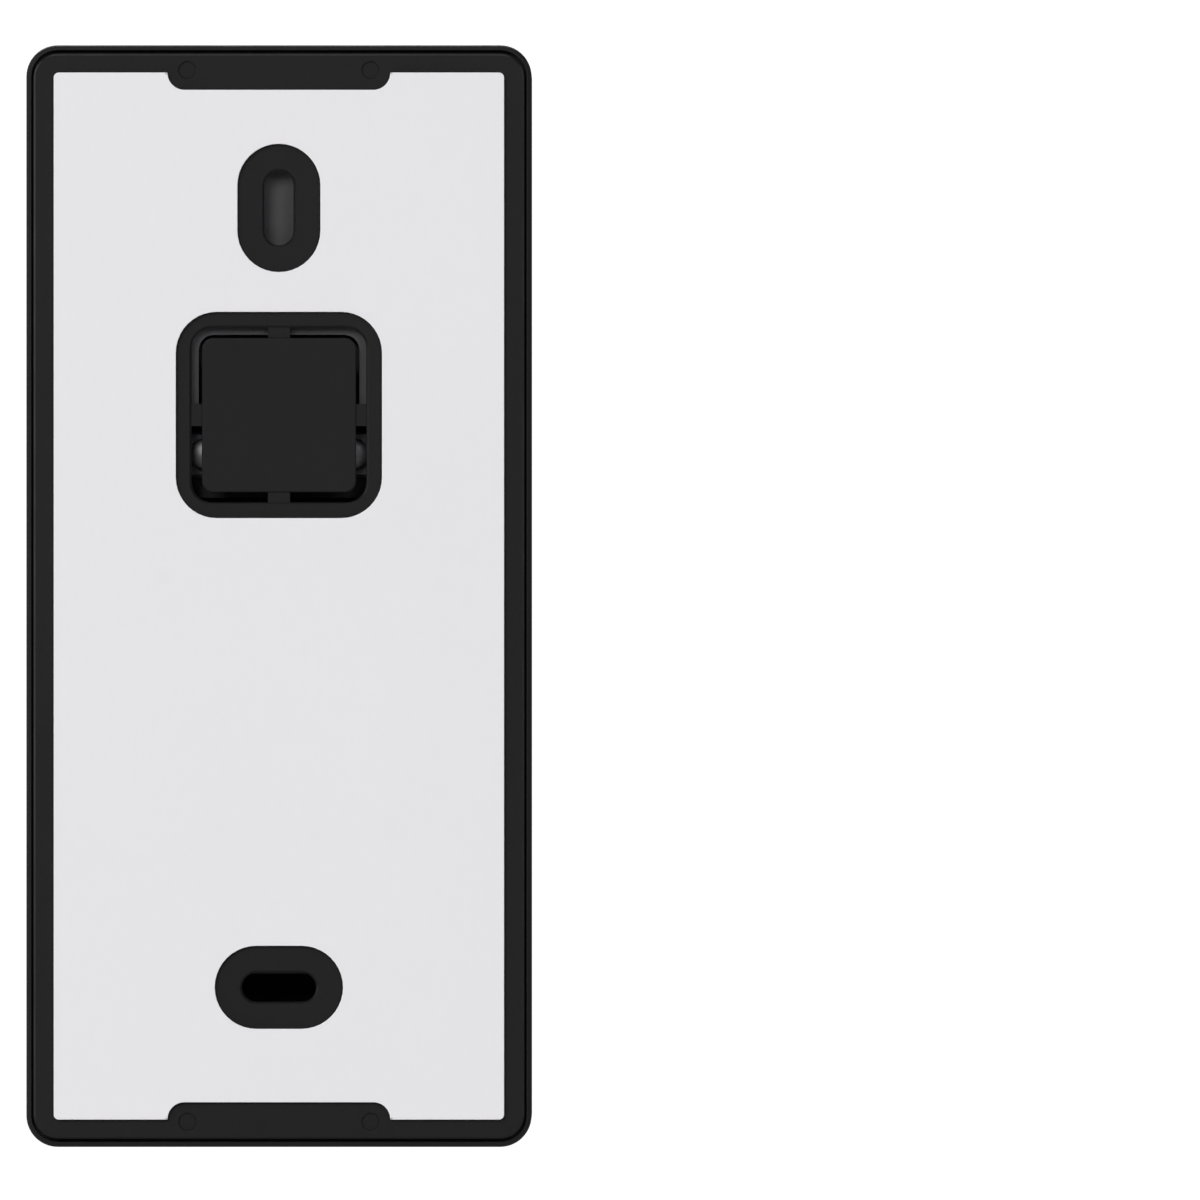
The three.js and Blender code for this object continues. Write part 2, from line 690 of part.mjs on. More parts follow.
function lensBarrel() {
  return turned(
    [
      [4, 16.2],
      [6.4, 16.2],
      [6.4, 22.5],
      [7.3, 22.5],
      [7.3, 27.6],
      [6.6, 27.6],
      [4, 22],
      [4, 16.2],
    ],
    0,
    CAMERA_Z,
    ROUND_STEPS,
  );
}

// Square plate of the camera, with its own back and front.
function cameraSquare({ width, corner, back, front }, steps) {
  return slab(rounded(width, width, corner, 0, CAMERA_Z), back, front, steps);
}

function cameraHolder() {
  const { halfOpening: half, back, front } = HOLDER;
  const opening = block([-half, back - OVERCUT, CAMERA_Z - half], [half, front + OVERCUT, CAMERA_Z + half]);
  return cut(cameraSquare(HOLDER, CORNER_STEPS), opening);
}

// Flat cable from the camera board, down to the edge of the main board.
function cameraRibbon() {
  const shape = new THREE.Shape();
  shape.moveTo(-12.4, 36);
  shape.lineTo(-12.4, 33);
  shape.lineTo(-21.8, 26);
  shape.lineTo(-21.8, 21);
  shape.lineTo(-22.1, 21);
  shape.lineTo(-22.1, 26.2);
  shape.lineTo(-12.7, 33.2);
  shape.lineTo(-12.7, 36);
  shape.closePath();
  const strip = new THREE.ExtrudeGeometry(shape, { depth: 8, bevelEnabled: false });
  // The outline is drawn as (y, z) and runs along X.
  const axes = new THREE.Matrix4().makeBasis(
    new THREE.Vector3(0, 1, 0),
    new THREE.Vector3(0, 0, 1),
    new THREE.Vector3(1, 0, 0),
  );
  return strip.applyMatrix4(axes).translate(-4, 0, 0);
}

// ---- Front window, motion sensor, button and its light ring ----
function frontWindow() {
  const { width, height, corner, z } = WINDOW;
  const plate = slab(rounded(width, height, corner, 0, z), WINDOW_SEAT + WINDOW.gasket, FRONT_FACE);
  const hole = disc(WINDOW.hole, 0, CAMERA_Z);
  return cut(plate, slab(hole, WINDOW_SEAT - OVERCUT, FRONT_FACE + OVERCUT, ROUND_STEPS));
}

function windowGasket() {
  const { width, height, corner, z, gasket } = WINDOW;
  return frame(width - 0.4, height - 0.4, corner, 1.2, WINDOW_SEAT, WINDOW_SEAT + gasket, z);
}

function motionLens() {
  return turned(
    [
      [8.1, 26.2],
      [9.3, 26.2],
      [9.3, 27.2],
      [8, 27.2],
      [8, 28.9],
      [6.4, 29.6],
      [3.4, 29.93],
      [0, PROUD_FACE],
      [0, 29.2],
      [3.3, 29.1],
      [6, 28.8],
      [7.2, 28.3],
      [7.2, 26.8],
      [8.1, 26.2],
    ],
    0,
    MOTION_Z,
    ROUND_STEPS,
  );
}

function motionSensor() {
  return turned(
    [
      [0, BOARD_FRONT],
      [4.6, BOARD_FRONT],
      [4.6, 23.9],
      [4.1, 23.9],
      [4.1, 26.4],
      [0, 26.4],
    ],
    0,
    MOTION_Z,
    ROUND_STEPS,
  );
}

function lightRing() {
  return turned(
    [
      [RING.inner, BOARD_FRONT],
      [RING.outer, BOARD_FRONT],
      [RING.outer, 29.3],
      [RING.inner, 29.3],
      [RING.inner, BOARD_FRONT],
    ],
    0,
    BUTTON_Z,
    ROUND_STEPS,
  );
}

function callButtonCap() {
  return turned(
    [
      [0, 26.9],
      [1.8, 26.9],
      [1.8, 27.6],
      [BUTTON_RADIUS, 27.6],
      [BUTTON_RADIUS, 29.5],
      [BUTTON_RADIUS - 0.6, 29.9],
      [BUTTON_RADIUS - 2, PROUD_FACE],
      [5, 29.8],
      [0, 29.7],
    ],
    0,
    BUTTON_Z,
    ROUND_STEPS,
  );
}

// Rubber dome plate on a skirt that stands on the main board.
function buttonMembrane() {
  return turned(
    [
      [11, BOARD_FRONT],
      [11.9, BOARD_FRONT],
      [11.9, 26.2],
      [0, 26.2],
      [0, 25.8],
      [11, 25.8],
      [11, BOARD_FRONT],
    ],
    0,
    BUTTON_Z,
    ROUND_STEPS,
  );
}

// ---- Sound ----
function speakerOutline(inset) {
  const width = SPEAKER.width - 2 * inset;
  const thickness = SPEAKER.thickness - 2 * inset;
  return rounded(width, thickness, thickness / 2, 0, -SPEAKER_DEPTH);
}

function speakerRing(low, high) {
  const outer = column(speakerOutline(0), low, high, SPEAKER_STEPS);
  const inner = column(speakerOutline(SPEAKER_WALL), low - OVERCUT, high + OVERCUT, SPEAKER_STEPS);
  return cut(outer, inner);
}

function speakerFrame() {
  const { low, high } = SPEAKER;
  const magnet = column(disc(MAGNET.radius, 0, -SPEAKER_DEPTH), high, high + MAGNET.height, SMALL_STEPS);
  const yoke = column(speakerOutline(0), high, high + YOKE_THICKNESS, SPEAKER_STEPS);
  return join(speakerRing(low, high), yoke, magnet);
}

function speakerCone() {
  const outline = speakerOutline(SPEAKER_WALL + GAP);
  return column(outline, SPEAKER.low + 1, SPEAKER.high, SPEAKER_STEPS);
}

function microphone() {
  const { halfWidth, halfHeight, front } = MICROPHONE;
  const low = [-halfWidth, BOARD_FRONT, MIC_Z - halfHeight];
  return block(low, [halfWidth, front, MIC_Z + halfHeight]);
}

// ---- Buttons and plungers on the back ----
function resetButton() {
  return turned(
    [
      [0, 2.9],
      [1.7, 2.9],
      [1.7, 4.6],
      [2.6, 4.6],
      [2.6, 5.2],
      [1, 5.2],
      [1, 19.4],
      [0, 19.4],
    ],
    -PLUNGER.x,
    PLUNGER.z,
    SMALL_STEPS,
  );
}

function tamperPlunger() {
  return turned(
    [
      [0, 2.5],
      [1.2, 2.5],
      [1.7, 3],
      [1.7, 6],
      [2.6, 6],
      [2.6, 6.6],
      [1, 6.6],
      [1, 19.8],
      [0, 19.8],
    ],
    PLUNGER.x,
    PLUNGER.z,
    SMALL_STEPS,
  );
}

// Screw that goes up through the underside and stands in the fork of the lower tab.
function securityScrew() {
  const profile = [
    [0, -69.8],
    [2.1, -69.8],
    [2.4, -69.4],
    [2.4, -68.5],
    [1.25, -68.5],
    [1.25, -61.6],
    [0.7, -61],
    [0, -61],
  ].map(([radius, z]) => new THREE.Vector2(radius, z));
  const screw = new THREE.LatheGeometry(profile, SMALL_STEPS).rotateX(Math.PI / 2);
  screw.translate(0, -SECURITY_SCREW_DEPTH, 0);
  const socket = column(disc(1.2, 0, -SECURITY_SCREW_DEPTH), -71, -69, 6);
  return cut(screw, socket);
}

// ---- Materials ----
const FINISHES = {
  liner: { color: 0xe6e5ea, roughness: 0.45 },
  foam: { color: 0xd8d8da, roughness: 0.9 },
  bracket: { color: 0x252528, roughness: 0.6 },
  shell: { color: 0x29292b, roughness: 0.55 },
  cover: { color: 0x666769, roughness: 0.6 },
  window: { color: 0x050506, roughness: 0.08 },
  glass: { color: 0x0c1018, roughness: 0.02 },
  lensPlastic: { color: 0xe4e4de, roughness: 0.4 },
  rubber: { color: 0x0c0c0d, roughness: 0.85 },
  steel: { color: 0xb4b6b8, roughness: 0.3, metalness: 1 },
  darkSteel: { color: 0x5a5b5e, roughness: 0.45, metalness: 1 },
  board: { color: 0x12402a, roughness: 0.5 },
  chip: { color: 0x121214, roughness: 0.6 },
  ring: { color: 0xdfe8ee, roughness: 0.3 },
  button: { color: 0x303033, roughness: 0.4 },
  cell: { color: 0x2d5f8c, roughness: 0.35, metalness: 0.4 },
  cone: { color: 0x1b1b1c, roughness: 0.7 },
  amber: { color: 0xb5762a, roughness: 0.45 },
};

const doorbell = new THREE.Group();

function add(name, finish, geometry) {
  const mesh = new THREE.Mesh(geometry, new THREE.MeshStandardMaterial(FINISHES[finish]));
  mesh.name = name;
  doorbell.add(mesh);
}

function addEach(name, finish, places, make) {
  places.forEach((place, index) => add(`${name}_${index + 1}`, finish, make(place)));
}

// ---- Bracket side ----
add("release_liner", "liner", stickySheet(LINER_BACK, FOAM_BACK));
add("adhesive_foam_sheet", "foam", stickySheet(FOAM_BACK, BRACKET_BACK));
add("wall_bracket", "bracket", wallBracket());

// ---- Housing ----
add("housing_shell", "shell", housingShell());
add("rear_cover", "cover", rearCover());
add("cover_gasket", "rubber", frame(61, 136.8, 2.4, 0.6, 4.6, 5.8));
addEach("cover_screw", "steel", cornerPlaces(), coverScrew);
add("screw_relief_cup", "rubber", screwReliefCup());
add("security_screw", "steel", securityScrew());

// ---- Wiring ----
const terminalSides = [-TERMINAL.x, TERMINAL.x];
add("terminal_block", "chip", terminalBlock());
addEach("terminal_screw", "steel", terminalSides, terminalScrew);
addEach("terminal_clamp", "darkSteel", terminalSides, terminalClamp);

// ---- Batteries ----
add("battery_door", "cover", batteryDoor());
add("door_seal", "rubber", doorSeal());
addEach("battery_cell", "cell", cellPlaces(), batteryCell);
add("contact_plate_top", "steel", contactPlate(CONTACT_LOW.top));
add("contact_plate_low", "steel", contactPlate(CONTACT_LOW.low));
addEach("contact_spring", "steel", cellPlaces(), contactSpring);

// ---- Electronics ----
add("main_board", "board", mainBoard());
add("board_shield", "steel", boardShield());
add("antenna", "amber", antenna());
add("call_switch", "chip", pushSwitch(0, BUTTON_Z, BOARD_FRONT, 24.9, 25.4));
add("reset_switch", "chip", pushSwitch(-PLUNGER.x, PLUNGER.z, BOARD_BACK, 20.9, 20.3));
add("tamper_switch", "chip", pushSwitch(PLUNGER.x, PLUNGER.z, BOARD_BACK, 20.9, 20.3));
add("reset_button", "button", resetButton());
add("tamper_plunger", "rubber", tamperPlunger());

// ---- Camera ----
add("camera_bezel", "button", cameraBezel());
add("front_lens", "glass", frontLens());
add("lens_barrel", "chip", lensBarrel());
add("camera_holder", "chip", cameraHolder());
add("image_sensor", "chip", cameraSquare(SENSOR, 2));
add("camera_board", "board", cameraSquare(CAMERA_BOARD, 3));
add("camera_ribbon", "amber", cameraRibbon());
add("led_board", "board", ledBoard());
addEach("ir_led", "glass", ledPlaces(), irLed);

// ---- Front ----
add("front_window", "window", frontWindow());
add("window_gasket", "rubber", windowGasket());
add("motion_lens", "lensPlastic", motionLens());
add("motion_sensor", "steel", motionSensor());
add("call_button_cap", "button", callButtonCap());
add("light_ring", "ring", lightRing());
add("button_membrane", "rubber", buttonMembrane());

// ---- Sound ----
add("microphone", "steel", microphone());
add("speaker_gasket", "rubber", speakerRing(SPEAKER_GASKET_LOW, SPEAKER.low));
add("speaker_frame", "chip", speakerFrame());
add("speaker_cone", "cone", speakerCone());

export default doorbell;
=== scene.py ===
"""Looks of the video doorbell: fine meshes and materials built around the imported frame.

Lengths in this script are millimetres, and MM turns them into metres. The wall is the plane y = 0
and a depth is a distance from it, so a point at depth d has y = -d.
"""
import json
import math

import bmesh
import bpy
from mathutils import Matrix, Vector
from mathutils.geometry import tessellate_polygon


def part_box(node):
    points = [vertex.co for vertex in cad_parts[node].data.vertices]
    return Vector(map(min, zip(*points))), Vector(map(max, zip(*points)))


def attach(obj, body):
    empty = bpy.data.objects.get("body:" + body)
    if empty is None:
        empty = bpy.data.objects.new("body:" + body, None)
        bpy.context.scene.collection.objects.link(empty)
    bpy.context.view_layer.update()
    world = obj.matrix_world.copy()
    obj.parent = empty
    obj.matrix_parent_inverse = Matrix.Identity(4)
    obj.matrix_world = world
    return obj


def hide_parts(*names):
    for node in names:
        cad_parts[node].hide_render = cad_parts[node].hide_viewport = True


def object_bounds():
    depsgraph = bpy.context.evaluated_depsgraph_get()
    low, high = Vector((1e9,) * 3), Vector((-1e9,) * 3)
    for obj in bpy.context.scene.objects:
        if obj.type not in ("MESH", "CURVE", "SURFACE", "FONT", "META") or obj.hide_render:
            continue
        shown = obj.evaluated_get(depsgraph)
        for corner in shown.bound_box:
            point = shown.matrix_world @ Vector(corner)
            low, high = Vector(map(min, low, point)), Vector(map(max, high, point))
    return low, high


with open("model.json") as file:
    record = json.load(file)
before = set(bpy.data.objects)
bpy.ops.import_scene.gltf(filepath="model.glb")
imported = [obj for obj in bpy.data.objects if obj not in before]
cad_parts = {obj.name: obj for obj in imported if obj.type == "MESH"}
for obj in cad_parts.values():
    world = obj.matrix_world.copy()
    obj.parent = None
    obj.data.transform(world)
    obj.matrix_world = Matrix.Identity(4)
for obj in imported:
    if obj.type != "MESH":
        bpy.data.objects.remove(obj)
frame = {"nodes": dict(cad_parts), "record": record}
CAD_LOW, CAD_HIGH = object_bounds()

MM = 0.001
ARC = 10  # steps in a quarter turn of an outline
EDGE_STEPS = 4  # steps in the rounding of an edge
MARGINS = (0.2, 0.09)  # flat strips beside each rounded edge of a plate, from its middle outwards


def span(node):
    """Lowest and highest corner of a CAD node as (x, depth, z) in mm; the depths are in order too."""
    low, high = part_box(node)
    return (low.x / MM, -high.y / MM, low.z / MM), (high.x / MM, -low.y / MM, high.z / MM)


def size_of(node):
    low, high = span(node)
    return high[0] - low[0], high[2] - low[2]


BODY_OF = {n: b for b, names in frame["record"]["behaviour"]["bodies"].items() for n in names}
SLOT_OF = {row["node"]: row["material_slot"] for row in frame["record"]["subparts"]}

# ---- Sizes that the frame's boxes don't say, in mm ----
BODY_CORNER = 4.0
LIP_WALL = 0.65
SHELL_WALL = 1.5
FRONT_ROUND = 1.6
LIP_BACK = span("housing_shell")[0][1]
FRONT_FACE = span("housing_shell")[1][1]
FRONT_WALL_BACK = FRONT_FACE - 2.0
WINDOW_SEAT = span("window_gasket")[0][1]
COVER_BACK = span("rear_cover")[0][1]
BRACKET_BACK = span("wall_bracket")[0][1]
BRACKET_FRONT = BRACKET_BACK + 1.6
BRACKET_CORNER = 3.1
BRACKET_CHAMFER = 0.27
SLOT_WIDTH = 3.7
SLOT_LENGTH = 9.45
UPPER_SLOT_Z = 49.3
LOWER_SLOT_Z = -49.7
KNOCKOUT_Z = 23.0
KNOCKOUT_HOLE = 22.2
KNOCKOUT_PANEL = 19.6
BRIDGE_WIDTH = 2.8
BRIDGE_THICKNESS = 0.8
TAB_HALF_WIDTH = 5
TAB_LOW, TAB_HIGH = 63.2, 65.0
TAB_ROOT = 2.0  # depth where both tabs grow out of the plate
NOTCH_WIDTH = 28.3
NOTCH_DEPTH = 2.2
SHEET_HOLE_LENGTH = 16.3
SHEET_HOLE_WIDTH = 10.55
SHEET_WINDOW = 26.2
ROUND_MARK = {"radius": 1.12, "depth": 0.3, "x": 11.63, "z": 66.8}
SCREW_DEPTH = 9.0
SECURITY_SHAFT = 1.25
SPRING_WIRE = 0.3
SEAM = 21.0  # depth of the fine groove round the housing
CORNER_SCREWS = [(x, z) for z in (63.6, -63.6) for x in (-26.3, 26.3)]


def middle_of(node):
    low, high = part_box(node)
    return (low.x + high.x) / 2 / MM, (low.z + high.z) / 2 / MM


CAMERA_Z = middle_of("camera_bezel")[1]
MOTION_Z = middle_of("motion_lens")[1]
MIC_Z = middle_of("microphone")[1]
BUTTON_Z = middle_of("call_button_cap")[1]
WINDOW_Z = middle_of("front_window")[1]


# ---- Outlines ----
class Outline:
    """A closed path of square corners (x, z, radius), counter-clockwise, that can be inset."""

    def __init__(self, corners, steps=ARC):
        self.corners = corners
        self.steps = steps

    def points(self, inset=0.0):
        found = []
        count = len(self.corners)
        for index, (x, z, radius) in enumerate(self.corners):
            before = self.corners[index - 1]
            after = self.corners[(index + 1) % count]
            came = Vector((x - before[0], z - before[1])).normalized()
            goes = Vector((after[0] - x, after[1] - z)).normalized()
            inward = Vector((-came.y, came.x)) + Vector((-goes.y, goes.x))
            turn = 1 if came.x * goes.y - came.y * goes.x > 0 else -1
            corner = Vector((x, z)) + inset * inward
            reach = max(radius - turn * inset, 0.02)
            centre = corner + turn * reach * inward
            spoke = corner - reach * came - centre
            for step in range(self.steps + 1):
                angle = turn * math.pi / 2 * step / self.steps
                cos, sin = math.cos(angle), math.sin(angle)
                arm = Vector((spoke.x * cos - spoke.y * sin, spoke.x * sin + spoke.y * cos))
                found.append(centre + arm)
        return [p for i, p in enumerate(found) if (p - found[i - 1]).length > 1e-6]


def rounded(width, height, radius, x=0.0, z=0.0, steps=ARC):
    radius = min(radius, width / 2 - 0.001, height / 2 - 0.001)
    right, left = x + width / 2, x - width / 2
    top, low = z + height / 2, z - height / 2
    corners = [(right, low, radius), (right, top, radius), (left, top, radius), (left, low, radius)]
    return Outline(corners, steps)


def disc(radius, x=0.0, z=0.0, steps=ARC):
    return rounded(2 * radius, 2 * radius, radius, x, z, steps)


def sweep(steps):
    """Angles from nothing to a quarter turn."""
    return [math.pi / 2 * step / steps for step in range(steps + 1)]


# ---- Meshes ----
def quarter(edge, flat_depth, towards):
    """Rounding from a flat face at flat_depth, inset by edge, to the wall; towards is 1 or -1."""
    drops = [(1 - math.sin(a), 1 - math.cos(a)) for a in sweep(EDGE_STEPS)]
    return [(edge * aside, flat_depth + towards * edge * down) for aside, down in drops]


def wall_profile(back, front, back_edge, front_edge):
    """Profile of a plate's edge, with a flat margin on each face that keeps the band of edge wear and
    painted highlight narrow.
    """
    back_strips = [(back_edge + margin, back) for margin in MARGINS]
    front_strips = [(front_edge + margin, front) for margin in MARGINS[::-1]]
    return back_strips + quarter(back_edge, back, 1) + quarter(front_edge, front, -1)[::-1] + front_strips


def chamfered_profile(back, front, chamfer, front_edge):
    """As wall_profile, with a flat chamfer at the back."""
    slope = [(chamfer + margin, back) for margin in MARGINS] + [(chamfer, back), (0, back + chamfer)]
    front_strips = [(front_edge + margin, front) for margin in MARGINS[::-1]]
    return slope + quarter(front_edge, front, -1)[::-1] + front_strips


class Shell:
    """A closed mesh made of rings that follow outlines, and flat faces between rings."""

    def __init__(self):
        self.bm = bmesh.new()

    def ring(self, outline, inset, depth):
        return [self.bm.verts.new((p.x * MM, -depth * MM, p.y * MM)) for p in outline.points(inset)]

    def wall(self, outline, profile, hole=False):
        """Rings at each (inset, depth) of the profile, joined by quads; returns the first and last ring."""
        side = -1 if hole else 1
        rings = [self.ring(outline, side * inset, depth) for inset, depth in profile]
        for first, second in zip(rings, rings[1:]):
            for i in range(len(first)):
                self.bm.faces.new((first[i - 1], first[i], second[i], second[i - 1]))
        return rings[0], rings[-1]

    def face(self, outer, holes=()):
        """Flat face bounded by one ring, with rings cut out of it."""
        loops = [outer, *holes]
        flat = [[Vector((v.co.x / MM, v.co.z / MM, 0)) for v in loop] for loop in loops]
        verts = [v for loop in loops for v in loop]
        for triangle in tessellate_polygon(flat):
            self.bm.faces.new([verts[i] for i in triangle])

    def done(self, name, sharp=32):
        return mesh_object(name, self.bm, sharp, even=False)


def mesh_object(name, bm, sharp=32, even=True):
    """Links the mesh as an object, smooth where faces meet at less than sharp degrees."""
    bmesh.ops.remove_doubles(bm, verts=bm.verts, dist=1e-7)
    bmesh.ops.recalc_face_normals(bm, faces=bm.faces)
    mesh = bpy.data.meshes.new(name)
    bm.to_mesh(mesh)
    bm.free()
    obj = bpy.data.objects.new(name, mesh)
    bpy.context.scene.collection.objects.link(obj)
    smooth(obj, sharp, even)
    return obj


def smooth(obj, sharp=32, even=True):
    """Smooth shading but at sharp edges; even keeps the flat faces beside a rounded edge flat to the eye."""
    mesh = obj.data
    mesh.shade_smooth()
    mesh.set_sharp_from_angle(angle=math.radians(sharp))
    if even:
        change = obj.modifiers.new("even_normals", "WEIGHTED_NORMAL")
        change.keep_sharp = True
        change.weight = 100


def applied(obj, sharp=32, even=True):
    """The object with its modifiers turned into plain mesh, without normals kept from an earlier shape."""
    bpy.context.view_layer.update()
    graph = bpy.context.evaluated_depsgraph_get()
    mesh = bpy.data.meshes.new_from_object(obj.evaluated_get(graph), depsgraph=graph)
    kept_normals = mesh.attributes.get("custom_normal")
    if kept_normals:
        mesh.attributes.remove(kept_normals)
    obj.modifiers.clear()
    obj.data = mesh
    smooth(obj, sharp, even)
    return obj


def combined(obj, tools, operation, even=True):
    """Joins the tools to obj, or cuts them out of it, and removes them."""
    obj.modifiers.clear()
    for tool in tools:
        change = obj.modifiers.new(tool.name, "BOOLEAN")
        change.operation = operation
        change.solver = "EXACT"
        change.object = tool
    applied(obj, even=even)
    for tool in tools:
        bpy.data.objects.remove(tool, do_unlink=True)
    return obj


def plate(name, outline, back, front, holes=(), pockets=(), edge=0.1, front_edge=None, profile=None):
    """A flat plate with rounded edges, through holes, and (outline, floor depth) pockets in its back."""
    front_edge = edge if front_edge is None else front_edge
    profile = profile or wall_profile(back, front, edge, front_edge)
    shell = Shell()
    first, last = shell.wall(outline, profile)
    back_holes, front_holes = [], []
    for hole in holes:
        back_ring, front_ring = shell.wall(hole, profile, hole=True)
        back_holes.append(back_ring)
        front_holes.append(front_ring)
    for pocket, floor in pockets:
        soft = 0.06
        drop = [(soft + margin, back) for margin in MARGINS] + quarter(soft, back, 1)
        drop += [(0, floor - soft), (-soft, floor)]
        mouth, bottom = shell.wall(pocket, drop, hole=True)
        back_holes.append(mouth)
        shell.face(bottom)
    shell.face(first, back_holes)
    shell.face(last, front_holes)
    return shell.done(name)


def block(name, low, high, edge=0.08):
    """A bevelled block between two corners, each given as (x, depth, z)."""
    bm = bmesh.new()
    size = [abs(b - a) * MM for a, b in zip(low, high)]
    middle = [(a + b) / 2 * MM for a, b in zip(low, high)]
    bmesh.ops.create_cube(bm, size=1.0)
    bmesh.ops.scale(bm, vec=size, verts=bm.verts)
    bmesh.ops.translate(bm, vec=(middle[0], -middle[1], middle[2]), verts=bm.verts)
    if edge:
        bmesh.ops.bevel(bm, geom=bm.edges[:], offset=edge * MM, segments=3, profile=0.5, affect="EDGES")
    return mesh_object(name, bm)


def softened(points, radius, steps=4):
    """A profile of (radius, depth) points with its corners rounded by up to radius."""
    made = [Vector(points[0])]
    for before, corner, after in zip(points, points[1:], points[2:]):
        back = Vector(before) - Vector(corner)
        ahead = Vector(after) - Vector(corner)
        reach = min(radius, back.length / 2.2, ahead.length / 2.2)
        start = Vector(corner) + back.normalized() * reach
        end = Vector(corner) + ahead.normalized() * reach
        for step in range(steps + 1):
            t = step / steps
            made.append((1 - t) ** 2 * start + 2 * t * (1 - t) * Vector(corner) + t * t * end)
    made.append(Vector(points[-1]))
    return made


def turned_mesh(profile, steps=96):
    """Mesh of a profile of (radius, depth) points turned about the Y axis; closed if the profile is."""
    bm = bmesh.new()
    rings = []
    for radius, depth in profile:
        if radius < 1e-4:
            rings.append([bm.verts.new((0, -depth * MM, 0))])
            continue
        angles = [2 * math.pi * step / steps for step in range(steps)]
        places = [(radius * math.cos(a) * MM, -depth * MM, radius * math.sin(a) * MM) for a in angles]
        rings.append([bm.verts.new(place) for place in places])
    for first, second in zip(rings, rings[1:]):
        for i in range(steps):
            near = (first[(i - 1) % len(first)], first[i % len(first)])
            far = (second[i % len(second)], second[(i - 1) % len(second)])
            corners = list(dict.fromkeys(near + far))
            if len(corners) > 2:
                bm.faces.new(corners)
    return bm


def stood_up(bm, x, depth, z, turn=math.pi / 2):
    """Turns a mesh about X, so that its axis runs along Z, and moves it to its place."""
    bmesh.ops.rotate(bm, cent=(0, 0, 0), matrix=Matrix.Rotation(turn, 3, "X"), verts=bm.verts)
    bmesh.ops.translate(bm, vec=(x * MM, -depth * MM, z * MM), verts=bm.verts)


def turned(name, profile, x=0.0, z=0.0, edge=0.0, steps=96, sharp=32):
    """A piece turned about an axis along Y through (x, z)."""
    points = softened(profile, edge) if edge else [Vector(p) for p in profile]
    bm = turned_mesh([(p.x, p.y) for p in points], steps)
    bmesh.ops.translate(bm, vec=(x * MM, 0, z * MM), verts=bm.verts)
    return mesh_object(name, bm, sharp)


def refined(node, edge):
    """A copy of a CAD node's mesh, welded, with its flat faces whole and its sharp edges bevelled."""
    bm = bmesh.new()
    bm.from_mesh(frame["nodes"][node].data)
    bmesh.ops.remove_doubles(bm, verts=bm.verts, dist=2e-6)
    bmesh.ops.dissolve_limit(bm, angle_limit=math.radians(1), verts=bm.verts, edges=bm.edges)
    if edge:
        shared = [e for e in bm.edges if len(e.link_faces) == 2]
        crisp = [e for e in shared if e.calc_face_angle() > math.radians(40)]
        bmesh.ops.bevel(
            bm, geom=crisp, offset=edge * MM, segments=2, profile=0.5, affect="EDGES", clamp_overlap=True
        )
    bmesh.ops.triangulate(bm, faces=[f for f in bm.faces if len(f.verts) > 4])
    return mesh_object(node + "_fine", bm)


BUILT = set()


def finish(obj, node):
    """Gives the piece its material and body, hides the CAD node that it stands for, and notes that node as
    built.
    """
    extra(obj, LOOKS[SLOT_OF[node]], BODY_OF[node])
    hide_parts(node)
    BUILT.add(node)


def extra(obj, look, body):
    """Gives a piece, which no CAD node need stand for, its material and body."""
    obj.data.materials.clear()
    obj.data.materials.append(look)
    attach(obj, body)


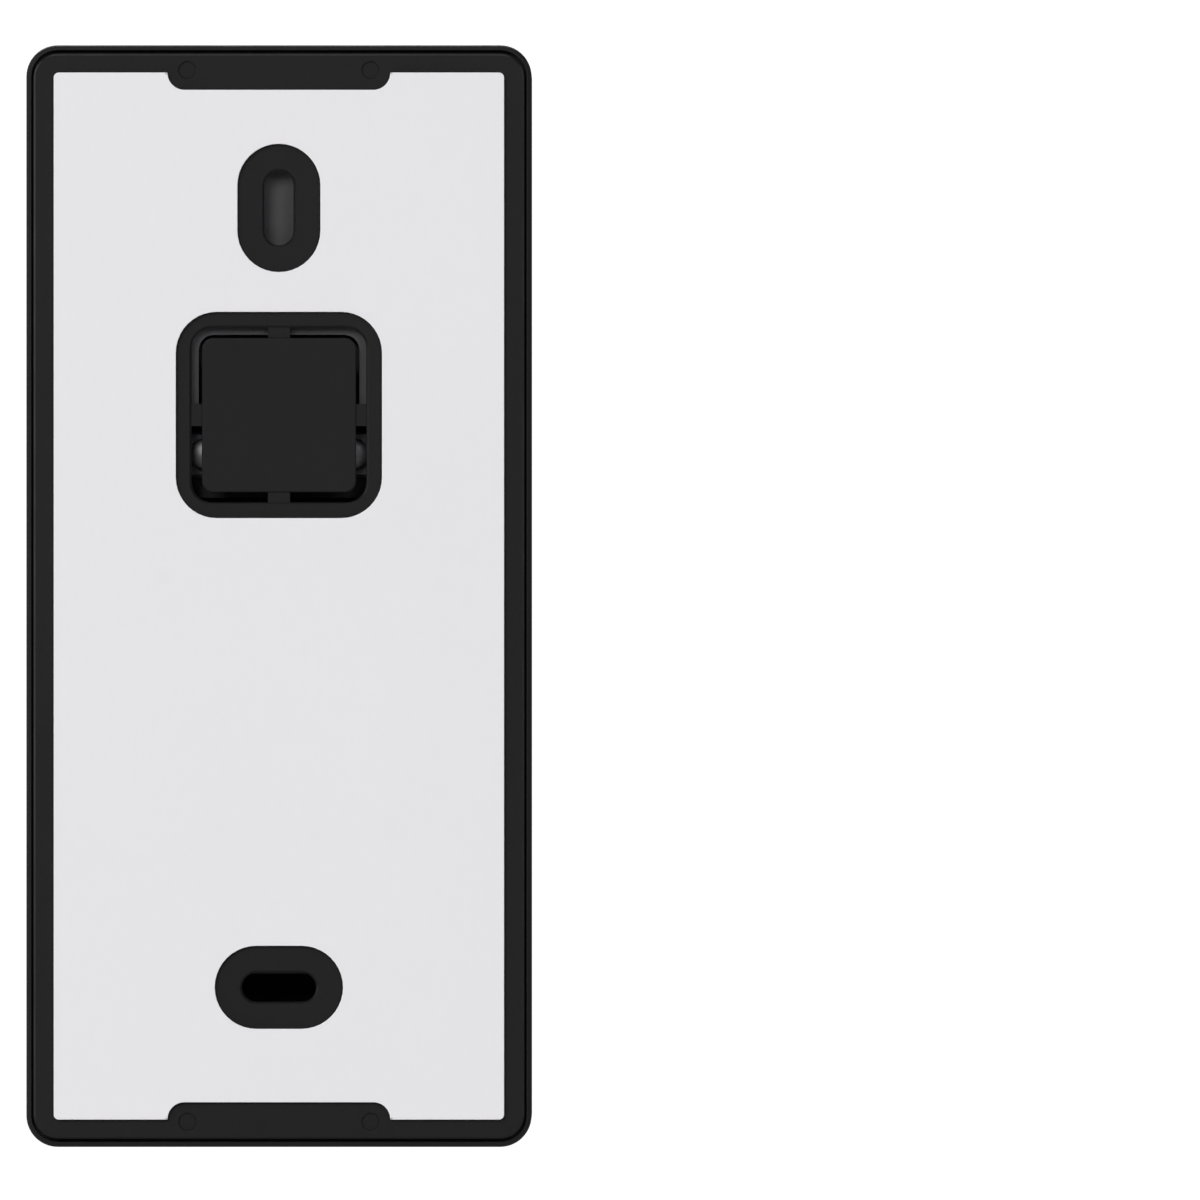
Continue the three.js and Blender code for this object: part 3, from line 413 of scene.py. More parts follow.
# ---- Materials ----
class Look:
    """A material with one Principled shader, and short ways to add nodes to it."""

    def __init__(self, name, colour, roughness, metallic=0.0):
        self.material = bpy.data.materials.new(name)
        self.material.use_nodes = True
        self.tree = self.material.node_tree
        self.shader = self.tree.nodes["Principled BSDF"]
        self.shader.inputs["Base Color"].default_value = (*colour, 1)
        self.shader.inputs["Roughness"].default_value = roughness
        self.shader.inputs["Metallic"].default_value = metallic
        self.colour = colour
        self.roughness = roughness
        self.place = self.node("ShaderNodeTexCoord").outputs["Object"]

    def node(self, kind, **settings):
        made = self.tree.nodes.new(kind)
        for key, value in settings.items():
            setattr(made, key, value)
        return made

    def link(self, source, target):
        """Links an output to an input, or sets the input to a number or a colour."""
        if isinstance(source, tuple):
            target.default_value = (*source, 1)
        elif isinstance(source, (int, float)):
            target.default_value = source
        else:
            self.tree.links.new(source, target)

    def set(self, **values):
        for name, value in values.items():
            self.shader.inputs[name.replace("_", " ").title().replace("Ior", "IOR")].default_value = value
        return self

    def stretched(self, scale):
        mapping = self.node("ShaderNodeMapping")
        mapping.inputs["Scale"].default_value = scale
        self.link(self.place, mapping.inputs["Vector"])
        return mapping.outputs["Vector"]

    def noise(self, period, detail=3.0, roughness=0.5, vector=None):
        """Noise whose features are about period mm across."""
        made = self.node("ShaderNodeTexNoise")
        made.inputs["Scale"].default_value = 1 / (period * MM)
        made.inputs["Detail"].default_value = detail
        made.inputs["Roughness"].default_value = roughness
        self.link(vector or self.place, made.inputs["Vector"])
        return made.outputs["Fac"]

    def cells(self, period, feature="F1", vector=None):
        made = self.node("ShaderNodeTexVoronoi", feature=feature)
        made.inputs["Scale"].default_value = 1 / (period * MM)
        self.link(vector or self.place, made.inputs["Vector"])
        return made.outputs["Distance"]

    def ranged(self, value, low, high, to_low, to_high):
        made = self.node("ShaderNodeMapRange")
        for key, number in zip(("From Min", "From Max", "To Min", "To Max"), (low, high, to_low, to_high)):
            made.inputs[key].default_value = number
        self.link(value, made.inputs["Value"])
        return made.outputs["Result"]

    def math(self, operation, first, second):
        made = self.node("ShaderNodeMath", operation=operation)
        self.link(first, made.inputs[0])
        self.link(second, made.inputs[1])
        return made.outputs["Value"]

    def mixed(self, factor, first, second):
        """Mixes two colours, each a tuple or a socket."""
        made = self.node("ShaderNodeMix", data_type="RGBA")
        self.link(factor, made.inputs["Factor"])
        self.link(first, made.inputs[6])
        self.link(second, made.inputs[7])
        return made.outputs[2]

    def paint(self, colour):
        self.link(colour, self.shader.inputs["Base Color"])

    def rough(self, value):
        self.link(value, self.shader.inputs["Roughness"])

    def bump(self, height, depth, normal=None):
        """Raises the surface by up to depth mm where height is 1."""
        made = self.node("ShaderNodeBump")
        made.inputs["Strength"].default_value = 1.0
        made.inputs["Distance"].default_value = depth * MM
        self.link(height, made.inputs["Height"])
        if normal:
            self.link(normal, made.inputs["Normal"])
        self.link(made.outputs["Normal"], self.shader.inputs["Normal"])
        return made.outputs["Normal"]

    # Mask of convex edges: it lightens their colour as wear plus a painted highlight, and smooths them as
    # wear.
    def wear_and_highlight_mask(self):
        """1 on convex edges, 0 in corners and on every flat face that is square to an axis."""
        geometry = self.node("ShaderNodeNewGeometry")
        normal = self.node("ShaderNodeSeparateXYZ")
        self.link(geometry.outputs["True Normal"], normal.inputs["Vector"])
        along = [self.math("ABSOLUTE", normal.outputs[axis], 0.0) for axis in "XYZ"]
        squareness = self.math("MAXIMUM", self.math("MAXIMUM", along[0], along[1]), along[2])
        turned_away = self.ranged(squareness, 0.9985, 0.9995, 1.0, 0.0)
        convex = self.ranged(geometry.outputs["Pointiness"], 0.504, 0.535, 0.0, 1.0)
        return self.math("MULTIPLY", convex, turned_away)


def scaled(colour, factor):
    return tuple(min(c * factor, 1.0) for c in colour)


def moulded_plastic(
    name, colour, roughness, grain=0.22, depth=0.006, spread=0.14, wear_and_highlight=1.5, gloss=0.5, burnish=0.0
):
    """Moulded plastic: eroded grain, faint flow clouds, handled patches, and smoother edges painted lighter,
    partly as wear and partly as a painted highlight.
    """
    look = Look(name, colour, roughness)
    clouds = look.noise(18, detail=4)
    tone = look.mixed(clouds, scaled(colour, 1 - spread), scaled(colour, 1 + spread))
    # Convex edges painted lighter: partly wear, partly a painted highlight.
    look.paint(look.mixed(look.wear_and_highlight_mask(), tone, scaled(colour, wear_and_highlight)))
    patches = look.noise(7, detail=5, roughness=0.6)
    fine = look.noise(0.35, detail=2)
    base = look.ranged(patches, 0.3, 0.7, roughness - 0.05, roughness + 0.06)
    flat = look.math("ADD", base, look.ranged(fine, 0.3, 0.7, -0.03, 0.03))
    look.rough(look.math("SUBTRACT", flat, look.math("MULTIPLY", look.wear_and_highlight_mask(), burnish)))
    pits = look.math("ADD", look.cells(grain), look.noise(grain * 0.6, detail=2))
    look.bump(pits, depth)
    look.set(specular_ior_level=gloss)
    return look.material


def rubber(name, colour, roughness=0.8):
    look = Look(name, colour, roughness)
    dust = look.noise(2.5, detail=6, roughness=0.7)
    look.paint(look.mixed(look.ranged(dust, 0.45, 0.8, 0.0, 0.5), colour, scaled(colour, 2.2)))
    look.rough(look.ranged(dust, 0.3, 0.7, roughness - 0.08, roughness + 0.08))
    look.bump(look.noise(0.18, detail=3), 0.008)
    look.set(specular_ior_level=0.35)
    return look.material


def steel(name, colour, roughness, scratch=(1.0, 1.0, 9.0)):
    """Plated or brushed metal with fine drag lines, small tarnish spots, and convex edges painted lighter as
    wear with a painted highlight.
    """
    look = Look(name, colour, roughness, metallic=1.0)
    lines = look.noise(0.5, detail=5, roughness=0.7, vector=look.stretched(scratch))
    spots = look.noise(1.2, detail=4)
    tone = look.mixed(look.ranged(spots, 0.45, 0.75, 0.0, 1.0), colour, scaled(colour, 0.72))
    # Convex edges painted lighter: partly wear, partly a painted highlight.
    look.paint(look.mixed(look.wear_and_highlight_mask(), tone, scaled(colour, 1.3)))
    look.rough(look.ranged(look.math("ADD", lines, spots), 0.6, 1.4, roughness - 0.08, roughness + 0.14))
    look.bump(lines, 0.002)
    look.set(anisotropic=0.35)
    return look.material


def liner_paper():
    """Coated release paper: near white, with faint fibres, slow waves and a few faint handling marks."""
    colour = (0.81, 0.808, 0.816)
    look = Look("release_paper", colour, 0.5)
    fibres = look.noise(0.9, detail=6, roughness=0.65, vector=look.stretched((1.0, 1.0, 0.35)))
    clouds = look.noise(26, detail=3)
    marks = look.noise(9, detail=2, roughness=0.4)
    tone = look.mixed(clouds, scaled(colour, 0.985), scaled(colour, 1.01))
    tone = look.mixed(look.ranged(fibres, 0.35, 0.75, 0.0, 0.35), tone, scaled(colour, 0.975))
    look.paint(look.mixed(look.ranged(marks, 0.68, 0.8, 0.0, 0.5), tone, scaled(colour, 0.965)))
    look.rough(look.ranged(fibres, 0.3, 0.7, 0.44, 0.58))
    waves = look.math("MULTIPLY", look.noise(34, detail=1), 12.0)
    look.bump(look.math("ADD", waves, fibres), 0.003)
    look.set(specular_ior_level=0.4, coat_weight=0.06, coat_roughness=0.4)
    return look.material


def foam():
    """Closed-cell foam, seen at its cut edges: open pores and a little yellowing."""
    colour = (0.74, 0.735, 0.72)
    look = Look("closed_cell_foam", colour, 0.85)
    pores = look.cells(0.16)
    shade = look.ranged(pores, 0.0, 0.5, 0.0, 1.0)
    look.paint(look.mixed(shade, scaled(colour, 0.7), scaled(colour, 1.05)))
    look.rough(look.ranged(look.noise(1.5), 0.3, 0.7, 0.8, 0.95))
    look.bump(pores, 0.05)
    look.set(subsurface_weight=0.08, subsurface_scale=0.0006)
    return look.material


def window_gloss():
    """Polished tinted window: deep black, with faint hairlines and a trace of dust."""
    look = Look("tinted_window", (0.0035, 0.0035, 0.0045), 0.06)
    dust = look.noise(0.7, detail=7, roughness=0.8)
    hair = look.noise(1.4, detail=3, vector=look.stretched((1.0, 1.0, 14.0)))
    look.paint(look.mixed(look.ranged(dust, 0.66, 0.9, 0.0, 0.5), look.colour, (0.015, 0.015, 0.017)))
    dull = look.ranged(dust, 0.55, 0.85, 0.0, 0.04)
    marks = look.math("ADD", dull, look.ranged(hair, 0.6, 0.85, 0.0, 0.03))
    look.rough(look.math("ADD", marks, 0.07))
    look.bump(look.noise(25, detail=1), 0.004)
    look.set(coat_weight=0.4, coat_roughness=0.03)
    return look.material


def lens_glass():
    """Clear coated front glass with a trace of dust."""
    look = Look("coated_glass", (0.93, 0.95, 0.97), 0.02)
    specks = look.noise(0.6, detail=7, roughness=0.8)
    look.paint(look.mixed(look.ranged(specks, 0.66, 0.9, 0.0, 0.5), look.colour, (0.8, 0.82, 0.84)))
    look.rough(look.ranged(specks, 0.5, 0.85, 0.01, 0.06))
    look.set(transmission_weight=1.0, ior=1.5)
    return look.material


def coated_element(name, colour, film):
    """A lens element seen as a dark mirror with a coloured anti-reflection film."""
    look = Look(name, colour, 0.04)
    haze = look.noise(1.5, detail=4)
    look.paint(look.mixed(haze, scaled(colour, 0.8), scaled(colour, 1.3)))
    look.rough(look.ranged(haze, 0.3, 0.7, 0.03, 0.08))
    look.set(coat_weight=1.0, coat_roughness=0.02, thin_film_thickness=film, thin_film_ior=1.38)
    return look.material


def woven_mesh():
    """Fine black acoustic mesh over the microphone hole."""
    look = Look("acoustic_mesh", (0.012, 0.012, 0.012), 0.7)
    weave = look.cells(0.16)
    look.paint(look.mixed(look.ranged(weave, 0.1, 0.5, 0.0, 1.0), (0.003, 0.003, 0.003), (0.02, 0.02, 0.02)))
    look.rough(look.ranged(weave, 0.1, 0.5, 0.6, 0.85))
    look.bump(weave, 0.03)
    return look.material


def milky_lens():
    """Milky moulded lens of the motion sensor: cloudy, with a fine matt grain."""
    colour = (0.72, 0.725, 0.70)
    look = Look("milky_lens", colour, 0.34)
    clouds = look.noise(3.5, detail=3)
    look.paint(look.mixed(clouds, scaled(colour, 0.95), scaled(colour, 1.03)))
    look.rough(look.ranged(look.noise(0.8, detail=4), 0.3, 0.7, 0.28, 0.42))
    look.bump(look.noise(0.2, detail=2), 0.003)
    look.set(subsurface_weight=0.25, subsurface_scale=0.001, coat_weight=0.15, coat_roughness=0.2)
    return look.material


def frosted_ring():
    colour = (0.72, 0.77, 0.80)
    look = Look("frosted_light_guide", colour, 0.42)
    frost = look.noise(0.25, detail=4, roughness=0.7)
    look.paint(look.mixed(look.noise(4, detail=3), scaled(colour, 0.93), scaled(colour, 1.04)))
    look.rough(look.ranged(frost, 0.3, 0.7, 0.34, 0.5))
    look.bump(frost, 0.006)
    look.set(subsurface_weight=0.5, subsurface_scale=0.002)
    return look.material


def circuit_board():
    """Green solder mask over copper tracks, with tinned pads and the glass weave just showing."""
    mask, track = (0.006, 0.06, 0.022), (0.012, 0.12, 0.04)
    look = Look("solder_mask", mask, 0.3)
    tracks = look.node("ShaderNodeTexBrick", offset=0.37, squash=1.6)
    turn = look.node("ShaderNodeMapping")
    turn.inputs["Rotation"].default_value = (math.pi / 2, 0, 0)
    look.link(look.place, turn.inputs["Vector"])
    look.link(turn.outputs["Vector"], tracks.inputs["Vector"])
    for key, number in (("Scale", 210.0), ("Mortar Size", 0.045), ("Brick Width", 0.9), ("Row Height", 0.3)):
        tracks.inputs[key].default_value = number
    pads = look.ranged(look.cells(1.7), 0.14, 0.18, 1.0, 0.0)
    lines = tracks.outputs["Fac"]
    weave = look.noise(0.4, detail=2, vector=look.stretched((3.0, 1.0, 1.0)))
    tone = look.mixed(lines, mask, track)
    look.paint(look.mixed(pads, tone, (0.55, 0.54, 0.5)))
    look.link(pads, look.shader.inputs["Metallic"])
    look.rough(look.ranged(weave, 0.3, 0.7, 0.24, 0.36))
    look.bump(look.math("ADD", lines, look.math("MULTIPLY", weave, 0.3)), 0.02)
    look.set(coat_weight=0.3, coat_roughness=0.2)
    return look.material


def amber_film():
    look = Look("polyimide_film", (0.42, 0.17, 0.025), 0.3)
    lanes = look.node("ShaderNodeTexWave", wave_type="BANDS", bands_direction="X")
    lanes.inputs["Scale"].default_value = 520.0
    look.link(look.place, lanes.inputs["Vector"])
    bands = look.ranged(lanes.outputs["Fac"], 0.35, 0.6, 0.0, 1.0)
    look.paint(look.mixed(bands, (0.42, 0.17, 0.025), (0.5, 0.27, 0.07)))
    look.rough(look.ranged(look.noise(2), 0.3, 0.7, 0.24, 0.38))
    look.bump(bands, 0.01)
    return look.material


def cell_jacket():
    """Plain printed shrink jacket: a dark body with one lighter band near each end."""
    dark, band = (0.03, 0.09, 0.19), (0.62, 0.62, 0.6)
    look = Look("cell_jacket", dark, 0.3)
    height = look.node("ShaderNodeSeparateXYZ")
    look.link(look.place, height.inputs["Vector"])
    centre = middle_of("battery_cell_1")[1] * MM
    away = look.math("ABSOLUTE", look.math("SUBTRACT", height.outputs["Z"], centre), 0.0)
    stripe = look.ranged(away, 0.0165, 0.0168, 0.0, 1.0)
    scuffs = look.noise(1.5, detail=6, roughness=0.7)
    look.paint(look.mixed(stripe, dark, band))
    look.rough(look.ranged(scuffs, 0.3, 0.7, 0.22, 0.42))
    look.bump(scuffs, 0.006)
    look.set(coat_weight=0.5, coat_roughness=0.12)
    return look.material


def tinted_epoxy():
    look = Look("tinted_epoxy", (0.03, 0.008, 0.02), 0.12)
    swirl = look.noise(1.0, detail=4)
    look.paint(look.mixed(swirl, (0.02, 0.006, 0.014), (0.05, 0.014, 0.03)))
    look.rough(look.ranged(swirl, 0.3, 0.7, 0.08, 0.18))
    look.bump(swirl, 0.01)
    look.set(coat_weight=0.8, coat_roughness=0.05)
    return look.material


MOULDED = {
    "bracket_plastic": (
        (0.0092, 0.0092, 0.0094), 0.45, dict(depth=0.003, wear_and_highlight=1.25, gloss=0.12, burnish=0.12)
    ),
    "shell_plastic": ((0.0062, 0.0062, 0.0064), 0.52, dict(depth=0.004, wear_and_highlight=1.15, gloss=0.16)),
    "grey_plastic": ((0.039, 0.039, 0.041), 0.6, dict(spread=0.06, wear_and_highlight=1.2)),
    "black_plastic": ((0.005, 0.005, 0.0055), 0.5, dict(gloss=0.3)),
    "button_plastic": ((0.018, 0.018, 0.019), 0.34, dict(depth=0.003)),
}
LOOKS = {name: moulded_plastic(name, *look, **more) for name, (*look, more) in MOULDED.items()}
LOOKS |= {
    "white_liner": liner_paper(),
    "white_foam": foam(),
    "window_plastic": window_gloss(),
    "milky_plastic": milky_lens(),
    "ring_plastic": frosted_ring(),
    "black_rubber": rubber("black_rubber", (0.006, 0.006, 0.006)),
    "screw_steel": steel("screw_steel", (0.13, 0.13, 0.135), 0.5),
    "bright_steel": steel("bright_steel", (0.6, 0.61, 0.62), 0.26),
    "dark_steel": steel("dark_steel", (0.07, 0.07, 0.075), 0.5),
    "green_board": circuit_board(),
    "amber_film": amber_film(),
    "lens_glass": lens_glass(),
    "led_epoxy": tinted_epoxy(),
    "cell_jacket": cell_jacket(),
    "cone_paper": rubber("cone_paper", (0.014, 0.014, 0.015), 0.7),
}


# ---- Bracket side ----
def sheet_outline():
    """Outline of the adhesive sheet: small corners, and a notch at the middle of the top and bottom."""
    width, height = size_of("release_liner")
    right, top = width / 2, height / 2
    notch, drop = NOTCH_WIDTH / 2, top - NOTCH_DEPTH
    corner, mouth, root = 0.65, 0.12, 2.15
    quarter_path = [(right, top, corner), (notch, top, mouth), (notch, drop, root)]
    path = [(right, -top, corner), *quarter_path]
    path += [(-x, z, radius) for x, z, radius in quarter_path[::-1]]
    path += [(-right, -top, corner), (-notch, -top, mouth), (-notch, -drop, root)]
    path += [(notch, -drop, root), (notch, -top, mouth)]
    return Outline(path)


def sheet_holes():
    long, short = SHEET_HOLE_LENGTH, SHEET_HOLE_WIDTH
    return [
        rounded(short, long, short / 2, 0, UPPER_SLOT_Z),
        rounded(long, short, short / 2, 0, LOWER_SLOT_Z),
        rounded(SHEET_WINDOW, SHEET_WINDOW, 5.2, 0, KNOCKOUT_Z),
    ]


def build_sheet():
    for node, edge in (("release_liner", 0.05), ("adhesive_foam_sheet", 0.12)):
        low, high = span(node)
        sheet = plate(node + "_fine", sheet_outline(), low[1], high[1], sheet_holes(), edge=edge)
        finish(sheet, node)


def round_marks():
    """Four shallow round marks, each as an outline and the depth of its floor."""
    places = [(ROUND_MARK["x"] * side, ROUND_MARK["z"] * end) for side in (-1, 1) for end in (-1, 1)]
    floor = BRACKET_BACK + ROUND_MARK["depth"]
    return [(disc(ROUND_MARK["radius"], x, z, steps=8), floor) for x, z in places]


def knockout_pieces():
    """The knock-out panel in the bracket, and the four thin bridges that hold it."""
    outline = rounded(KNOCKOUT_PANEL, KNOCKOUT_PANEL, 1.45, 0, KNOCKOUT_Z)
    pieces = [plate("panel", outline, BRACKET_BACK, BRACKET_FRONT, edge=0.14)]
    overlap = 0.3
    inside, reach = KNOCKOUT_PANEL / 2 - overlap, KNOCKOUT_HOLE / 2 + overlap
    back, half = BRACKET_BACK + 0.25, BRIDGE_WIDTH / 2
    front = back + BRIDGE_THICKNESS
    for side in (-1, 1):
        low, high = sorted((side * inside, side * reach))
        flat = ((low, back, KNOCKOUT_Z - half), (high, front, KNOCKOUT_Z + half))
        tall = ((-half, back, KNOCKOUT_Z + low), (half, front, KNOCKOUT_Z + high))
        pieces += [block(f"bridge_x_{side}", *flat, edge=0), block(f"bridge_z_{side}", *tall, edge=0)]
    return pieces


def build_bracket():
    width, height = size_of("wall_bracket")
    holes = [
        rounded(SLOT_WIDTH, SLOT_LENGTH, SLOT_WIDTH / 2, 0, UPPER_SLOT_Z),
        rounded(SLOT_LENGTH, SLOT_WIDTH, SLOT_WIDTH / 2, 0, LOWER_SLOT_Z),
        rounded(KNOCKOUT_HOLE, KNOCKOUT_HOLE, 2.6, 0, KNOCKOUT_Z),
    ]
    outline = rounded(width, height, BRACKET_CORNER)
    profile = chamfered_profile(BRACKET_BACK, BRACKET_FRONT, BRACKET_CHAMFER, 0.15)
    bracket = plate(
        "wall_bracket_fine", outline, BRACKET_BACK, BRACKET_FRONT, holes, round_marks(), profile=profile
    )
    half = TAB_HALF_WIDTH
    tabs = [
        block("top_tab", (-half, TAB_ROOT, TAB_LOW), (half, 9, TAB_HIGH), edge=0.15),
        block("snap_bump", (-half, 4.9, TAB_HIGH - 0.2), (half, 6.4, TAB_HIGH + 0.5), edge=0.15),
        block("low_tab", (-half, TAB_ROOT, -TAB_HIGH), (half, 13, -TAB_LOW), edge=0.15),
    ]
    combined(bracket, knockout_pieces() + tabs, "UNION", even=False)
    fork_half, below, above = 1.6, -TAB_HIGH - 1, -TAB_LOW + 1.2
    fork = upright_disc("fork", fork_half, SCREW_DEPTH, below, above)
    mouth = block("mouth", (-fork_half, SCREW_DEPTH, below), (fork_half, 15, above), edge=0)
    combined(bracket, [fork, mouth], "DIFFERENCE", even=False)
    finish(bracket, "wall_bracket")


def upright_disc(name, radius, depth, low, high, steps=48):
    """A round bar along Z, at x = 0."""
    bm = turned_mesh([(0, -high), (radius, -high), (radius, -low), (0, -low)], steps)
    stood_up(bm, 0, depth, 0)
    return mesh_object(name, bm)


# ---- Housing ----
def shell_profile():
    """Profile of the shell's wall: inside, step and lip at the back, round rim, seam, round front edge."""
    step = COVER_BACK - 0.1
    lip = [(SHELL_WALL, FRONT_WALL_BACK), (SHELL_WALL, step), (LIP_WALL, step)]
    lip += [(LIP_WALL, LIP_BACK + 0.05), (LIP_WALL - 0.04, LIP_BACK + 0.005)]
    rim_turns = [math.radians(12 + 78 * i / 8) for i in range(9)]
    crown, radius = LIP_BACK - 0.012, 0.62
    rim = [(radius * (1 - math.sin(a)), crown + radius * (1 - math.cos(a))) for a in rim_turns]
    seam = [(0, SEAM - 0.17), (0.07, SEAM - 0.1), (0.11, SEAM), (0.07, SEAM + 0.1), (0, SEAM + 0.17)]
    edge = FRONT_ROUND
    front = [(edge * (1 - math.cos(a)), FRONT_FACE - edge * (1 - math.sin(a))) for a in sweep(10)]
    front += [(edge + margin, FRONT_FACE) for margin in MARGINS[::-1]]
    return lip + rim + seam + front


def build_shell():
    """Outer shell in one piece: lip round the bracket, sides, rounded front edge and front openings."""
    width, height = size_of("housing_shell")
    body = rounded(width, height, BODY_CORNER, steps=14)
    shell = Shell()
    inner, front = shell.wall(body, shell_profile())
    window_width, window_height = size_of("front_window")
    seat = rounded(window_width + 0.6, window_height + 0.6, 3.3, 0, WINDOW_Z)
    soft = 0.12
    opening = [(soft + margin, FRONT_FACE) for margin in MARGINS] + quarter(soft, FRONT_FACE, -1)
    seat_mouth, seat_floor = shell.wall(seat, opening + [(0, WINDOW_SEAT)], hole=True)
    motion, button = disc(8.3, 0, MOTION_Z, steps=18), disc(14.3, 0, BUTTON_Z, steps=24)
    through = [motion, disc(0.7, 0, MIC_Z, steps=6), button]
    rings = [shell.wall(hole, opening + [(0, FRONT_WALL_BACK)], hole=True) for hole in through]
    camera = disc(11.6, 0, CAMERA_Z, steps=18)
    leds = [disc(2.9, *middle_of(f"ir_led_{i}"), steps=6) for i in range(1, 5)]
    plain = [(0, WINDOW_SEAT), (0, FRONT_WALL_BACK)]
    deep = [shell.wall(hole, plain, hole=True) for hole in [camera, *leds]]
    shell.face(front, [seat_mouth] + [ring[0] for ring in rings])
    shell.face(seat_floor, [ring[0] for ring in deep])
    posts = [build_post(shell, x, z) for x, z in CORNER_SCREWS]
    shell.face(inner, [ring[1] for ring in rings] + [ring[1] for ring in deep] + posts)
    housing = shell.done("housing_shell_fine")
    boss = block("screw_boss", (-4.5, 6.1, -69.0), (4.5, 12.2, -66.2), edge=0)
    combined(housing, [boss], "UNION", even=False)
    combined(housing, underside_cutters(), "DIFFERENCE", even=False)
    finish(housing, "housing_shell")


def build_post(shell, x, z):
    """Screw post on the inner face of the front wall. Returns the ring where it stands."""
    end = 6.3
    foot, head = shell.wall(disc(2.6, x, z, steps=8), [(0, FRONT_WALL_BACK), (0, end)])
    mouth, floor = shell.wall(disc(1.5, x, z, steps=8), [(0, end), (0, 15)])
    shell.face(head, [mouth])
    shell.face(floor)
    return foot


def underside_cutters():
    """The speaker's slots, and the recess and hole of the security screw, as cutting bodies."""
    low, high = span("speaker_frame")
    depth = (low[1] + high[1]) / 2
    width, length, pitch = 1.6, 8.0, 4.0
    below = -72
    slots = []
    for step in range(-2, 3):
        slot = rounded(width, length, width / 2, pitch * step, -depth, steps=6)
        bm = bmesh.new()
        for height in (below, -67.6):
            ring = [bm.verts.new((p.x * MM, p.y * MM, height * MM)) for p in slot.points()]
            bm.faces.new(ring)
        rings = [list(face.verts) for face in bm.faces]
        for i in range(len(rings[0])):
            bm.faces.new((rings[0][i - 1], rings[0][i], rings[1][i], rings[1][i - 1]))
        slots.append(mesh_object(f"slot_{step}", bm))
    head = upright_disc("head_recess", 2.7, SCREW_DEPTH, below, -68.2)
    shaft = upright_disc("shaft_hole", 1.6, SCREW_DEPTH, below, -60)
    return slots + [head, shaft]


def build_window():
    width, height = size_of("front_window")
    low, high = span("front_window")
    outline = rounded(width, height, 3, 0, WINDOW_Z)
    hole = disc(10.5, 0, CAMERA_Z, steps=24)
    window = plate("front_window_fine", outline, low[1], high[1], [hole], edge=0.1, front_edge=0.3)
    finish(window, "front_window")


# ---- Camera ----
def build_camera():
    """Bezel, glass dome, ribbed barrel, and behind the glass a coated element with its iris."""
    bezel = [(7.7, 26), (11.2, 26), (11.2, 27.1), (10.2, 27.1), (10.2, 29.6), (9.7, 30), (8.8, 30)]
    bezel += [(8.1, 29.3), (8.1, 29.1), (7.7, 28.9), (7.7, 26)]
    finish(turned("camera_bezel_fine", bezel, 0, CAMERA_Z, edge=0.25), "camera_bezel")
    radius, rise, brim = 7.4, 1.35, 28.4
    dome = [(0, 27.9), (radius, 27.9)]
    dome += [(radius * math.cos(a), brim + rise * math.sin(a)) for a in sweep(14)]
    finish(turned("front_lens_fine", dome, 0, CAMERA_Z), "front_lens")
    barrel = [(4, 16.2), (6.4, 16.2), (6.4, 22.5), (7.3, 22.5), (7.3, 27.6), (6.8, 27.6)]
    for ring in range(5):
        radius, depth = 6.6 - 0.5 * ring, 27.0 - 1.0 * ring
        barrel += [(radius, depth), (radius - 0.35, depth - 0.15)]
    barrel += [(4, 22), (4, 16.2)]
    finish(turned("lens_barrel_fine", barrel, 0, CAMERA_Z, edge=0.06), "lens_barrel")
    front_cap = [(0, 22.6), (4.3, 22.6), (4.3, 23.2), (3.9, 23.6), (3.0, 24.1), (1.6, 24.5), (0, 24.6)]
    coating = coated_element("blue_coating", (0.004, 0.006, 0.02), 380.0)
    cap = turned("front_element", front_cap, 0, CAMERA_Z, edge=0.3)
    extra(cap, coating, "doorbell")
    iris = [(1.3, 24.9), (4.45, 24.4), (4.45, 24.7), (1.5, 25.15), (1.3, 24.9)]
    iris_plate = turned("iris_plate", iris, 0, CAMERA_Z, edge=0.04)
    extra(iris_plate, LOOKS["black_plastic"], "doorbell")


def build_acoustic_mesh():
    """Fine mesh that closes the microphone hole behind the front face."""
    profile = [(0, 27.6), (0.68, 27.6), (0.68, 27.9), (0, 27.9)]
    mesh = turned("acoustic_mesh", profile, 0, MIC_Z, edge=0.05, steps=32)
    extra(mesh, woven_mesh(), "doorbell")


def lenslet(x, z):
    """How far a point of the motion lens lies below its dome: 0 at the middle of a lenslet."""
    pitch = 2.3
    row = pitch * math.sqrt(3) / 2
    nearest = pitch
    for j in range(round(z / row) - 1, round(z / row) + 2):
        shift = pitch / 2 * (j % 2)
        i = round((x - shift) / pitch)
        nearest = min(nearest, math.hypot(x - shift - i * pitch, z - j * row))
    return 0.16 * (nearest / (pitch / 2)) ** 2


def build_motion_sensor():
    """Domed milky lens with hexagonal lenslets, hollow behind, over the metal can of the sensor."""
    radius, rise, brim = 8, 1.6, 28.4
    smooth_to = brim + 0.5  # lenslets start a little above the brim
    outside = [(radius * math.cos(a), brim + rise * math.sin(a)) for a in sweep(44)]
    inside = [(7.1 * math.sin(a), 28.0 + 0.9 * math.cos(a)) for a in sweep(10)]
    flange = [(8.1, 26.2), (9.3, 26.2), (9.3, 27.2), (radius, 27.2)]
    bm = turned_mesh([*flange, *outside, *inside, (7.1, 26.8), flange[0]], 144)
    for vert in bm.verts:
        x, depth, z = vert.co.x / MM, -vert.co.y / MM, vert.co.z / MM
        dome = brim + rise * math.sqrt(max(1 - (x * x + z * z) / radius**2, 0))
        if abs(depth - dome) < 0.01 and depth > smooth_to:
            vert.co.y += min(lenslet(x, z), 1.2 * (depth - smooth_to)) * MM
    bmesh.ops.translate(bm, vec=(0, 0, MOTION_Z * MM), verts=bm.verts)
    finish(mesh_object("motion_lens_fine", bm), "motion_lens")
    low, high = span("motion_sensor")
    foot = low[1] + 0.5
    can = [(0, low[1]), (4.6, low[1]), (4.6, foot), (4.1, foot), (4.1, high[1]), (0, high[1])]
    sensor = turned("motion_sensor_fine", can, 0, MOTION_Z, edge=0.3)
    finish(sensor, "motion_sensor")


